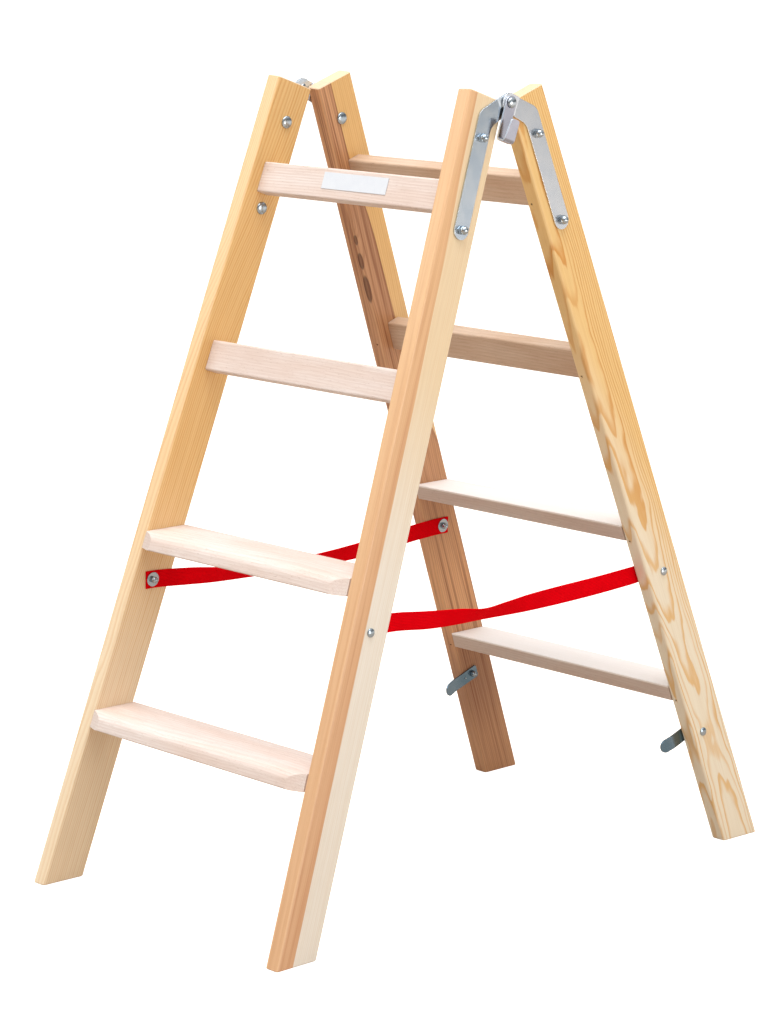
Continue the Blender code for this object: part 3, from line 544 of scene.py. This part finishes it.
def zinc(name, pale, blue, roughness):
    """Bright zinc plate over rolled steel: faint blue patches, fine scratches, soft streaks."""
    g = new_material(name)
    x, y, z = g.split(g.node("ShaderNodeTexCoord", {}, 3))
    patches = g.noise(g.vector(x, y, z), 40.0, 2.0, 0.5)
    cloud = g.noise(g.vector(x, y, z), 14.0, 2.0)
    scratches = g.noise(g.vector(x * 2500.0, y * 500.0, z * 60.0), 1.0, 2.0, 0.7)
    speckle = g.noise(g.vector(x, y, z), 900.0, 2.0, 0.6)
    colour = g.mix(g.smooth(patches * 0.6 + cloud * 0.4, 0.38, 0.62), pale, blue)
    colour = g.mix(g.smooth(speckle, 0.62, 0.80, 0.0, 0.10), colour, srgb(170, 178, 186))
    g.feed(g.shader.inputs["Base Color"], colour)
    rough = scratches * 0.05 + patches * 0.03 + (roughness - 0.04)
    g.feed(g.shader.inputs["Roughness"], rough)
    g.feed(g.shader.inputs["Normal"], g.bump(scratches * 0.5 + speckle * 0.3, 0.000002))
    return g.set(Metallic=1.0)


def new_object(name, mesh, material, body, node=None):
    """A piece that moves with a body, and that a CAD node gives way to when one is named."""
    obj = bpy.data.objects.new(name, mesh)
    bpy.context.scene.collection.objects.link(obj)
    obj.data.materials.append(material)
    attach(obj, body)
    if node:
        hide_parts(node)
    return obj


def mesh_from(bm, name, angle=35.0):
    bmesh.ops.recalc_face_normals(bm, faces=bm.faces)
    mesh = bpy.data.meshes.new(name)
    bm.to_mesh(mesh)
    bm.free()
    mesh.shade_smooth()
    mesh.set_sharp_from_angle(angle=radians(angle))
    return mesh


def even_normals(obj):
    """Keeps large flat faces flat where rounded rims meet them."""
    modifier = obj.modifiers.new("even normals", "WEIGHTED_NORMAL")
    modifier.keep_sharp = True


def turned(bm, profile, matrix, sides=ROUND):
    """Spins a profile of (radius, height) points round the matrix's z axis."""
    verts = [bm.verts.new(matrix @ Vector((r, 0, h))) for r, h in profile]
    edges = [bm.edges.new(pair) for pair in zip(verts, verts[1:])]
    axis = matrix.to_3x3() @ Vector((0, 0, 1))
    bmesh.ops.spin(bm, geom=verts + edges, cent=matrix.translation, axis=axis, angle=2 * pi, steps=sides)
    bmesh.ops.remove_doubles(bm, verts=bm.verts, dist=1e-6)


def dome(radius, height, base, rim, steps=8):
    """Profile of a round head from its crown to its foot: a cap over a short upright rim."""
    angles = [pi / 2 * k / steps for k in range(steps + 1)]
    points = [(radius * sin(a), base + rim + (height - rim) * cos(a)) for a in angles]
    return points + [(radius * 0.985, base + rim * 0.25), (radius * 0.96, base)]


def steel_piece(node, bm, body, material):
    mesh = mesh_from(bm, f"{node}_steel")
    return new_object(f"{node}_steel", mesh, material, body, node)


def make_bolt(node, body, place, sizes, base, tip, material):
    """A round head on its shank, whose tip is chamfered."""
    shank, radius, height = sizes
    bm = bmesh.new()
    profile = dome(radius, height, base, height * 0.22)
    profile += [(shank, base), (shank, tip + 0.001), (shank * 0.7, tip), (0.0, tip)]
    turned(bm, profile, place)
    steel_piece(node, bm, body, material)


def make_cap_nut(node, body, place, sizes, base, material):
    """A hexagon with chamfered corners under a domed cap."""
    corners, collar, height = sizes
    bm = bmesh.new()
    middle = place @ Matrix.Translation((0, 0, base + collar / 2))
    wide = corners * 1.08
    bmesh.ops.create_cone(
        bm, cap_ends=True, segments=6, radius1=wide, radius2=wide, depth=collar, matrix=middle
    )
    bmesh.ops.bevel(bm, geom=bm.edges[:], offset=0.0006, segments=2, profile=0.6, affect="EDGES")
    profile = dome(corners * 0.90, height, base, collar * 1.08)[:-2] + [(corners * 0.90, base + collar * 0.5)]
    turned(bm, profile + [(0.0, base + collar * 0.5)], place)
    steel_piece(node, bm, body, material)


def make_washer(node, body, place, base, material):
    radius, thickness = WASHER
    top = base + thickness
    bore = SMALL_BOLT[0] + GAP
    profile = [(bore, top - 0.0002), (bore + 0.0002, top), (radius - 0.0004, top), (radius, top - 0.0003)]
    profile += [(radius, base + 0.0002), (radius - 0.0002, base), (bore, base), (bore, top - 0.0002)]
    bm = bmesh.new()
    turned(bm, profile, place)
    steel_piece(node, bm, body, material)


def make_fasteners(material):
    hinge_base = FACE + PLATE_THICKNESS + 2 * GAP
    hinge_tip = -(hinge_base + HINGE_NUT[1] + THREAD_PAST_COLLAR)
    for frame_name in FRAMES:
        body = f"{frame_name}_frame"
        for side in SIDES:
            for level, (y, below) in HINGE_BOLTS.items():
                inward = across(frame_name, side, y, below, False)
                outward = across(frame_name, side, y, below, True)
                bolt = f"{frame_name}_hinge_bolt_{side}_{level}"
                nut = f"{frame_name}_hinge_cap_nut_{side}_{level}"
                make_bolt(bolt, body, inward, HINGE_BOLT, FACE + GAP, hinge_tip, material)
                make_cap_nut(nut, body, outward, HINGE_NUT, hinge_base, material)
            make_inside_set(frame_name, side, "strap", STRAP_BOLT, STRAP_THICKNESS, material)
            if frame_name == "rear":
                make_inside_set(frame_name, side, "guide", GUIDE_BOLT, GUIDE_THICKNESS, material)


def make_inside_set(frame_name, side, kind, spot, layer, material):
    """A bolt with its head outside and its cap nut inside, over a strap's washer or a guide."""
    body = f"{frame_name}_frame"
    inward = across(frame_name, side, *spot, False)
    outward = across(frame_name, side, *spot, True)
    rest = FACE + layer + 2 * GAP
    if kind == "strap":
        make_washer(f"{frame_name}_strap_washer_{side}", body, inward, rest, material)
        rest += WASHER[1] + GAP
    tip = -(rest + SMALL_NUT[1] + THREAD_PAST_COLLAR)
    make_bolt(f"{frame_name}_{kind}_bolt_{side}", body, outward, SMALL_BOLT, FACE + GAP, tip, material)
    make_cap_nut(f"{frame_name}_{kind}_cap_nut_{side}", body, inward, SMALL_NUT, rest, material)


# ---------------------------------------------------------------- flat steel

def arc(centre, radius, start, end, steps):
    angles = [start + (end - start) * k / steps for k in range(steps + 1)]
    return [(centre[0] + radius * cos(a), centre[1] + radius * sin(a)) for a in angles]


def fillet(before, corner, after, radius, steps=8):
    """The arc that rounds one corner of an outline."""
    into = (Vector(corner) - Vector(before)).normalized()
    out = (Vector(after) - Vector(corner)).normalized()
    turn = atan2(into.x * out.y - into.y * out.x, into.dot(out))
    start = Vector(corner) - into * radius * tan(abs(turn) / 2)
    centre = start + Vector((-into.y, into.x)) * radius * (1 if turn > 0 else -1)
    angle = atan2(start.y - centre.y, start.x - centre.x)
    return arc(centre, radius, angle, angle + turn, steps)


def tangent_angle(centre, radius, point, side):
    away = (point[0] - centre[0], point[1] - centre[1])
    return atan2(away[1], away[0]) + side * acos(radius / hypot(*away))


def flat_bar(name, points, thickness, rounding):
    """A stamped flat outline with rounded rims, in the XY plane from z 0 up."""
    curve = bpy.data.curves.new(name, "CURVE")
    curve.dimensions = "2D"
    curve.fill_mode = "BOTH"
    curve.extrude = thickness / 2 - rounding
    curve.bevel_depth = rounding
    curve.bevel_resolution = 2
    curve.offset = -rounding
    spline = curve.splines.new("POLY")
    spline.points.add(len(points) - 1)
    for place, (x, y) in zip(spline.points, points):
        place.co = (x, y, 0.0, 1.0)
    spline.use_cyclic_u = True
    holder = bpy.data.objects.new(name, curve)
    bpy.context.scene.collection.objects.link(holder)
    graph = bpy.context.evaluated_depsgraph_get()
    mesh = bpy.data.meshes.new_from_object(holder.evaluated_get(graph))
    bpy.data.objects.remove(holder, do_unlink=True)
    bm = bmesh.new()
    bm.from_mesh(mesh)
    bmesh.ops.remove_doubles(bm, verts=bm.verts, dist=1e-6)
    bmesh.ops.translate(bm, verts=bm.verts, vec=(0, 0, thickness / 2))
    return bm


def cut(bm, place, normal):
    geometry = bm.verts[:] + bm.edges[:] + bm.faces[:]
    bmesh.ops.bisect_plane(bm, geom=geometry, plane_co=place, plane_no=normal)


def plate_outline():
    """The hinge plate in (outward, below) coordinates from the stile's inner top corner."""
    eye = (-INNER_EDGE, -TOP_DROP)
    inner = PLATE_CENTRE - PLATE_WIDTH / 2
    outer = PLATE_CENTRE + PLATE_WIDTH / 2
    end = PLATE_END - PLATE_WIDTH / 2
    outer_corner = (outer, PLATE_CORNERS["outer"])
    inner_corner = (inner, PLATE_CORNERS["inner"])
    outer_touch = tangent_angle(eye, EYE_RADIUS, outer_corner, -1)
    inner_touch = tangent_angle(eye, EYE_RADIUS, inner_corner, 1)
    points = arc((PLATE_CENTRE, end), PLATE_WIDTH / 2, pi, 0.0, 24)
    eye_arc = arc(eye, EYE_RADIUS, outer_touch, inner_touch - 2 * pi, 28)
    points += fillet((outer, end), outer_corner, eye_arc[0], PLATE_ROUNDING["outer"])
    points += eye_arc
    points += fillet(eye_arc[-1], inner_corner, (inner, end), PLATE_ROUNDING["inner"])
    return points


def make_hinge_plate(frame_name, side, material):
    """Lies on the stile and steps out to its eye, which is square to the hinge axis."""
    node = f"{frame_name}_hinge_plate_{side}"
    bm = flat_bar(node, plate_outline(), PLATE_THICKNESS, STEEL_RIM)
    normal = Vector((cos(ARM_ANGLE), sin(ARM_ANGLE), 0))
    steps = 6
    for k in range(steps + 1):
        reach = RAMP[0] + (RAMP[1] - RAMP[0]) * k / steps
        cut(bm, Vector((-INNER_EDGE, -TOP_DROP, 0)) + normal * reach, normal)
    sign = frame_sign(frame_name, side)
    eye_x = outer_face(0.0) + EYE_PLANE[frame_name]
    matrix = frame_matrix(frame_name)
    for v in bm.verts:
        y, below, layer = v.co
        reach = (y + INNER_EDGE) * cos(ARM_ANGLE) + (below + TOP_DROP) * sin(ARM_ANGLE)
        share = min(1.0, max(0.0, (reach - RAMP[0]) / (RAMP[1] - RAMP[0])))
        share = share * share * (3 - 2 * share)
        flat_x = outer_face(below) + GAP
        x = eye_x + (flat_x - eye_x) * share + layer
        v.co = matrix @ Vector((sign * x, INNER_EDGE + y, -TOP_DROP - below))
    even_normals(steel_piece(node, bm, f"{frame_name}_frame", material))


def make_rivet(side, material):
    node = f"hinge_rivet_{side}"
    inner = outer_face(0.0) + EYE_PLANE["front"] - GAP
    outer = outer_face(0.0) + EYE_PLANE["rear"] + PLATE_THICKNESS + GAP
    if side == "right":
        outer += HOOK_THICKNESS + GAP
    head_radius, head_height = RIVET_HEAD
    tail_radius, tail_height = RIVET_TAIL
    end = inner - tail_height
    profile = dome(head_radius, head_height, outer, 0.0006, 10)
    profile += [(RIVET_SHANK, outer), (RIVET_SHANK, inner)]
    profile += [(tail_radius * 0.97, inner), (tail_radius, inner - 0.0004)]
    profile += [(tail_radius * 0.9, inner - tail_height * 0.7), (tail_radius * 0.6, end), (0.0, end)]
    bm = bmesh.new()
    turned(bm, profile, Matrix.Translation(HINGE) @ Matrix.Rotation(SIDES[side] * pi / 2, 4, "Y"))
    steel_piece(node, bm, "front_frame", material)


def hook_rows():
    """The hook's centre line as (outward, up, half width), from its top round to its lip."""
    half = HOOK_WIDTH / 2
    rows = [(0.0, half * cos(pi * k / 32), half * sin(pi * k / 32)) for k in range(1, 17)]
    rows += [(0.0, -HOOK_DROP * k / 6, half) for k in range(1, 6)]
    rows += [(x, z, half) for x, z in arc((HOOK_BEND, -HOOK_DROP), HOOK_BEND, pi, 1.5 * pi, 8)]
    rows += [(x, z, half) for x, z in arc((HOOK_GAP - HOOK_BEND, -HOOK_DROP), HOOK_BEND, 1.5 * pi, 2 * pi, 8)]
    corner = HOOK_LIP_WIDTH / 4
    straight = HOOK_LIP - corner
    lip = [(straight * k / 5, 0.0) for k in range(1, 6)]
    for k in range(1, 9):
        turn = pi / 2 * k / 8
        lip.append((straight + corner * sin(turn), corner * (1 - cos(turn))))
    for rise, inset in lip:
        width = half + (HOOK_LIP_WIDTH / 2 - half) * rise / HOOK_LIP - inset
        rows.append((HOOK_GAP + HOOK_LIP_LEAN * rise, rise - HOOK_DROP, width))
    return rows


def make_bucket_hook(material, edge):
    """A folded strip whose rounded edges get a paler material than its faces: a painted highlight along its
    edges.
    """
    bm = bmesh.new()
    rows = [[bm.verts.new((x, y, z)) for y in (-half, 0.0, half)] for x, z, half in hook_rows()]
    for row, following in zip(rows, rows[1:]):
        for k in range(2):
            bm.faces.new((row[k], row[k + 1], following[k + 1], following[k]))
    place = Matrix.Translation(HINGE + Vector((outer_face(0.0) + HOOK_PLANE + HOOK_THICKNESS / 2, 0, 0)))
    bmesh.ops.transform(bm, matrix=place @ Matrix.Rotation(HOOK_TILT, 4, "X"), verts=bm.verts)
    piece = steel_piece("bucket_hook", bm, "bucket_hook", material)
    solid = piece.modifiers.new("strip thickness", "SOLIDIFY")
    solid.thickness = HOOK_THICKNESS
    solid.offset = 0.0
    solid.use_even_offset = True
    bevel = piece.modifiers.new("rounded edges", "BEVEL")
    bevel.width = 0.0006
    bevel.segments = 3
    bevel.limit_method = "ANGLE"
    bevel.angle_limit = radians(50)
    # The strip's rim faces take the paler second material: painted highlight along the edges.
    piece.data.materials.append(edge)
    solid.material_offset_rim = 1
    even_normals(piece)


def make_guide(side, material):
    """A flat bar with a round tip that is bent away from the stile."""
    node = f"closing_guide_{side}"
    half = GUIDE_WIDTH / 2
    tail = GUIDE_BOLT[0] + GUIDE_TAIL
    corner = 0.004
    points = arc((half - GUIDE_REACH, 0.0), half, 1.5 * pi, 0.5 * pi, 24)
    points += fillet(points[-1], (tail, half), (tail, 0.0), corner, 6)
    points += fillet((tail, 0.0), (tail, -half), points[0], corner, 6)
    bm = flat_bar(node, points, GUIDE_THICKNESS, STEEL_RIM)
    bend = GUIDE_TIP - GUIDE_REACH
    steps = 6
    softness = 0.004
    for k in range(steps + 1):
        cut(bm, Vector((bend - softness * k / steps, 0, 0)), Vector((1, 0, 0)))
    sign = frame_sign("rear", side)
    matrix = stile_matrix("rear", side)
    for v in bm.verts:
        y, z, layer = v.co
        past = max(0.0, bend - y)
        lift = past * past / (2 * softness) if past < softness else past - softness / 2
        lift *= tan(GUIDE_TIP_BEND)
        v.co = matrix @ Vector((-sign * (FACE + GAP + layer + lift), y, z - GUIDE_BOLT[1]))
    even_normals(steel_piece(node, bm, "rear_frame", material))


def make_guide_tack(side, material):
    place = across("rear", side, GUIDE_BOLT[0] - GUIDE_TACK, GUIDE_BOLT[1], False)
    base = FACE + GUIDE_THICKNESS + 2 * GAP
    bm = bmesh.new()
    shank, radius, height = TACK
    profile = dome(radius, height, base, 0.0002, 6) + [(shank, base), (shank, 0.003), (0.0, 0.001)]
    turned(bm, profile, place, SMALL_ROUND)
    steel_piece(f"closing_guide_tack_{side}", bm, "rear_frame", material)


def make_tenon_pins(frame_name, side, material):
    """Four wire pins, driven in from the stile's inner edge and sunk a little."""
    bm = bmesh.new()
    sign = frame_sign(frame_name, side)
    profile = [(0.0, 0.0), (PIN_RADIUS * 0.7, 0.0002), (PIN_RADIUS, 0.0006)]
    profile += [(PIN_RADIUS, PIN_LENGTH - 0.002), (0.0, PIN_LENGTH)]
    for top, below in zip(RUNG_TOPS, PIN_BELOW_TOP):
        spot = Matrix.Translation((-sign * PIN_INBOARD, PIN_SUNK, -(top + below)))
        place = stile_matrix(frame_name, side) @ spot @ Matrix.Rotation(-pi / 2, 4, "X")
        turned(bm, profile, place, SMALL_ROUND)
    name = f"{frame_name}_tenon_pins_{side}"
    new_object(name, mesh_from(bm, name), material, f"{frame_name}_frame")


# ---------------------------------------------------------------- straps

def webbing():
    """Red polyester webbing: rows of small slanted stitches between lengthwise ribs."""
    g = new_material("red_webbing")
    along, over, _ = g.split(g.node("ShaderNodeTexCoord", {}, 2))
    rib = 0.0022
    pick = 0.0015
    side = abs(g.math("FRACT", over / rib) - 0.5) * 2.0
    slant = along / pick + side * 0.9
    stitch = abs(g.math("FRACT", slant) - 0.5) * 2.0
    height = stitch * 0.6 + (1.0 - side * side) * 0.5
    fuzz = g.noise(g.vector(along, over, 0.0), 2200.0, 2.0, 0.7)
    shade = g.noise(g.vector(along, over, 0.0), 30.0, 2.0)
    # Painted shade in the weave: its low spots are painted dark red and its raised stitches bright red.
    colour = g.mix(g.smooth(height + fuzz * 0.3, 0.15, 0.95), srgb(160, 0, 5), srgb(238, 0, 16))
    colour = g.mix(g.smooth(shade, 0.3, 0.7, 0.0, 0.25), colour, srgb(196, 0, 9))
    g.feed(g.shader.inputs["Base Color"], colour)
    g.feed(g.shader.inputs["Roughness"], g.smooth(fuzz, 0.2, 0.8, 0.62, 0.82))
    g.feed(g.shader.inputs["Normal"], g.bump(height + fuzz * 0.15, 0.00035))
    return g.set(Specular_IOR_Level=0.02)


def frame_point(frame_name, y, below):
    point = frame_matrix(frame_name) @ Vector((0, INNER_EDGE + y, -TOP_DROP - below))
    return point.y, point.z


def strap_x(y, z):
    """Distance from the ladder's middle to the face that a strap lies on."""
    edge_y, _ = frame_point("rear", 0.0, STRAP_BOLT[1])
    y = max(abs(y), edge_y)
    below = y * sin(LEAN) + (HINGE.z - z) * cos(LEAN) - TOP_DROP
    return inner_face(below) - GAP


# Points on each strap's way: the share of the way from its front bolt to its rear one, how far it hangs
# below the bolts in metres, and its twist in degrees
STRAP_ROUTES = {
    "right": ((0.0, 0.0, 0.0), (0.11, -0.0012, 0.0), (0.23, 0.0064, -6.0), (0.33, 0.0108, -24.0),
              (0.40, 0.0142, -41.0), (0.47, 0.0134, -32.0), (0.57, 0.0116, -12.0), (0.68, 0.0098, -1.0),
              (0.80, 0.0076, 0.0), (0.93, 0.0038, 0.0), (1.0, 0.0, 0.0)),
    "left": ((0.0, 0.0, 0.0), (0.10, 0.0045, 0.0), (0.23, 0.0125, -26.0), (0.38, 0.0170, -35.0),
             (0.54, 0.0185, -28.0), (0.70, 0.0150, -12.0), (0.85, 0.0062, 0.0), (0.95, 0.0012, 0.0),
             (1.0, 0.0, 0.0)),
}
STRAP_STEPS = 150


def smooth_between(points, share):
    """Catmull-Rom through points whose first value is the share."""
    k = 0
    while k < len(points) - 2 and share > points[k + 1][0]:
        k += 1
    before = points[max(0, k - 1)]
    start, end = points[k], points[k + 1]
    after = points[min(len(points) - 1, k + 2)]
    t = (share - start[0]) / (end[0] - start[0])
    out = []
    for b, s, e, a in zip(before[1:], start[1:], end[1:], after[1:]):
        bend = (2 * b - 5 * s + 4 * e - a) * t * t
        twist = (3 * s - b - 3 * e + a) * t ** 3
        out.append(0.5 * (2 * s + (e - b) * t + bend + twist))
    return out


def strap_stations(side):
    """Points (y, z, twist) along a strap from its front end to its rear end."""
    start = Vector(frame_point("front", *STRAP_BOLT))
    end = Vector(frame_point("rear", *STRAP_BOLT))
    stations = [(start.x - STRAP_TAIL * k / 4, start.y, 0.0) for k in (4, 3, 2, 1)]
    for k in range(STRAP_STEPS + 1):
        share = k / STRAP_STEPS
        hang, twist = smooth_between(STRAP_ROUTES[side], share)
        middle = start.lerp(end, share)
        stations.append((middle.x, middle.y - hang, radians(twist)))
    return stations + [(end.x + STRAP_TAIL * k / 4, end.y, 0.0) for k in (1, 2, 3, 4)]


def make_strap(side, material):
    """A band that lies on the stiles' inner faces and hangs, a little twisted, between them."""
    name = f"strap_{side}_webbing"
    sign = SIDES[side]
    shares = [-0.5 + k / 8 for k in range(9)]
    stations = strap_stations(side)
    run = [0.0]
    for before, after in zip(stations, stations[1:]):
        run.append(run[-1] + hypot(after[0] - before[0], after[1] - before[1]))
    bm = bmesh.new()
    layer = bm.loops.layers.uv.new("webbing")
    rows = []
    where = {}
    for (y, z, twist), travelled in zip(stations, run):
        row = []
        for share in shares:
            height = share * STRAP_WIDTH
            level = z + height * cos(twist)
            x = sign * (strap_x(y, level) - STRAP_THICKNESS / 2 - height * sin(twist) * sign)
            v = bm.verts.new((x, y, level))
            where[v] = (travelled, height)
            row.append(v)
        rows.append(row)
    for row, following in zip(rows, rows[1:]):
        for k in range(len(shares) - 1):
            face = bm.faces.new((row[k], row[k + 1], following[k + 1], following[k]))
            for loop in face.loops:
                loop[layer].uv = where[loop.vert]
    mesh = mesh_from(bm, name, 60.0)
    obj = bpy.data.objects.new(name, mesh)
    bpy.context.scene.collection.objects.link(obj)
    solid = obj.modifiers.new("webbing thickness", "SOLIDIFY")
    solid.thickness = STRAP_THICKNESS
    solid.offset = 0.0
    bevel = obj.modifiers.new("soft edges", "BEVEL")
    bevel.width = 0.0005
    bevel.segments = 2
    bevel.limit_method = "ANGLE"
    bevel.angle_limit = radians(60)
    graph = bpy.context.evaluated_depsgraph_get()
    obj.data = bpy.data.meshes.new_from_object(obj.evaluated_get(graph))
    obj.modifiers.clear()
    obj.data.materials.append(material)
    edge_y, edge_z = frame_point("rear", 0.0, STRAP_BOLT[1])
    x = sign * inner_face(STRAP_BOLT[1])
    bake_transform(obj)
    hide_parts(f"strap_{side}")


# ---------------------------------------------------------------- label

def paper():
    g = new_material("blank_label")
    x, y, z = g.split(g.node("ShaderNodeTexCoord", {}, 3))
    fibres = g.noise(g.vector(x, y, z), 700.0, 3.0, 0.7)
    clouds = g.noise(g.vector(x, y, z), 40.0, 2.0)
    colour = g.mix(g.smooth(fibres * 0.6 + clouds * 0.4, 0.3, 0.7), srgb(208, 211, 216), srgb(216, 218, 221))
    g.feed(g.shader.inputs["Base Color"], colour)
    g.feed(g.shader.inputs["Roughness"], g.smooth(fibres, 0.2, 0.8, 0.50, 0.62))
    g.feed(g.shader.inputs["Normal"], g.bump(fibres, 0.00004))
    return g.set(Specular_IOR_Level=0.4)


# ---------------------------------------------------------------- studio

def make_camera():
    data = bpy.data.cameras.new("camera")
    data.lens = CAMERA_LENS
    data.sensor_width = 36.0
    camera = bpy.data.objects.new("camera", data)
    bpy.context.scene.collection.objects.link(camera)
    turn = Matrix.Rotation(radians(CAMERA_AZIMUTH), 4, "Z")
    turn = turn @ Matrix.Rotation(radians(90 - CAMERA_ELEVATION), 4, "X")
    turn = turn @ Matrix.Rotation(radians(-CAMERA_ROLL), 4, "Z")
    camera.matrix_world = Matrix.Translation(CAMERA_PLACE) @ turn
    bpy.context.scene.camera = camera


def make_world():
    """Soft light, brightest from above and dim at the horizon; seen directly it is white."""
    world = bpy.data.worlds.new("studio")
    g = Graph(world)
    x, y, z = g.split(g.node("ShaderNodeTexCoord", {}, 0))
    sky = g.mix(g.smooth(z, -0.15, 0.85), (0.37, 0.345, 0.315, 1), (0.84, 0.87, 0.90, 1))
    horizon = g.smooth(z, -0.06, 0.06) * g.smooth(z, 0.22, 0.42, 1.0, 0.0)
    sky = g.mix(horizon * 0.72, sky, (0.12, 0.13, 0.14, 1))
    seen = g.node("ShaderNodeLightPath", {}, 0)
    background = g.tree.nodes["Background"]
    g.feed(background.inputs["Color"], g.mix(seen, sky, (1, 1, 1, 1)))
    bpy.context.scene.world = world


def soft_light(name, place, size, power, colour=(1, 1, 1)):
    """A square soft box that faces the middle of the ladder."""
    data = bpy.data.lights.new(name, "AREA")
    data.size = size
    data.energy = power
    data.color = colour
    light = bpy.data.objects.new(name, data)
    bpy.context.scene.collection.objects.link(light)
    light.location = place
    light.rotation_euler = (Vector((0, 0, 0.6)) - Vector(place)).to_track_quat("-Z", "Y").to_euler()


def make_floor():
    """A wide pale floor that lifts towards white where it is seen directly."""
    bm = bmesh.new()
    bmesh.ops.create_circle(bm, cap_ends=True, segments=96, radius=80.0)
    bmesh.ops.translate(bm, verts=bm.verts, vec=(0, 0, -0.0004))
    mesh = bpy.data.meshes.new("floor")
    bm.to_mesh(mesh)
    bm.free()
    floor = bpy.data.objects.new("floor", mesh)
    bpy.context.scene.collection.objects.link(floor)
    g = new_material("pale_floor")
    x, y, z = g.split(g.node("ShaderNodeTexCoord", {}, 3))
    grain = g.noise(g.vector(x, y, z), 30.0, 3.0)
    far = g.smooth(x + y * 0.5, 1.4, 4.6, 0.03, 0.80)
    seen = g.node("ShaderNodeLightPath", {}, 0)
    g.feed(g.shader.inputs["Base Color"], g.mix(grain, srgb(180, 166, 152), srgb(184, 170, 156)))
    g.feed(g.shader.inputs["Emission Strength"], g.math("MAXIMUM", seen, far))
    g.set(Roughness=0.8, Emission_Color=(1, 1, 1, 1), Specular_IOR_Level=0.0)
    mesh.materials.append(g.owner)


# ---------------------------------------------------------------- assembly

make_camera()
make_world()
make_floor()
soft_light("overhead", (0.6, -0.8, 6.0), 4.6, 330.0, (0.97, 0.985, 1.0))
soft_light("left", (-2.6, -2.4, 2.6), 1.4, 15.0)
soft_light("front", (-0.6, -2.6, 3.4), 1.8, 30.0)
soft_light("side", (4.2, 0.3, 0.7), 1.9, 57.0)
bpy.context.scene.view_settings.view_transform = "Standard"

dress_stiles()
dress_rungs()
plate_blue = zinc("zinc_plate_blue", srgb(206, 215, 223), srgb(193, 205, 217), 0.20)
plate_grey = zinc("zinc_plate_grey", srgb(224, 227, 231), srgb(216, 221, 228), 0.26)
bright = zinc("zinc_fasteners", srgb(184, 192, 198), srgb(166, 178, 187), 0.22)
hook_steel = zinc("zinc_hook", srgb(178, 178, 190), srgb(166, 169, 182), 0.20)
# Painted highlight: a paler, rougher zinc for the hook's edges.
hook_edge_highlight = zinc("zinc_hook_edge", srgb(238, 243, 250), srgb(226, 233, 242), 0.42)
# Painted dark reflection: the closing guides get a darker, bluer zinc than the other steel.
guide_steel = zinc("zinc_guide", srgb(124, 146, 163), srgb(108, 134, 152), 0.24)
dull = zinc("dull_pin_steel", srgb(120, 104, 90), srgb(92, 80, 72), 0.50)
for frame_name, material in zip(FRAMES, (plate_blue, plate_grey)):
    for side in SIDES:
        make_hinge_plate(frame_name, side, material)
        make_tenon_pins(frame_name, side, dull)
make_fasteners(bright)
make_bucket_hook(hook_steel, hook_edge_highlight)
red = webbing()
for side in SIDES:
    make_rivet(side, bright)
    make_guide(side, guide_steel)
    make_guide_tack(side, bright)
    make_strap(side, red)
assign(frame["nodes"]["rung_label"], paper())
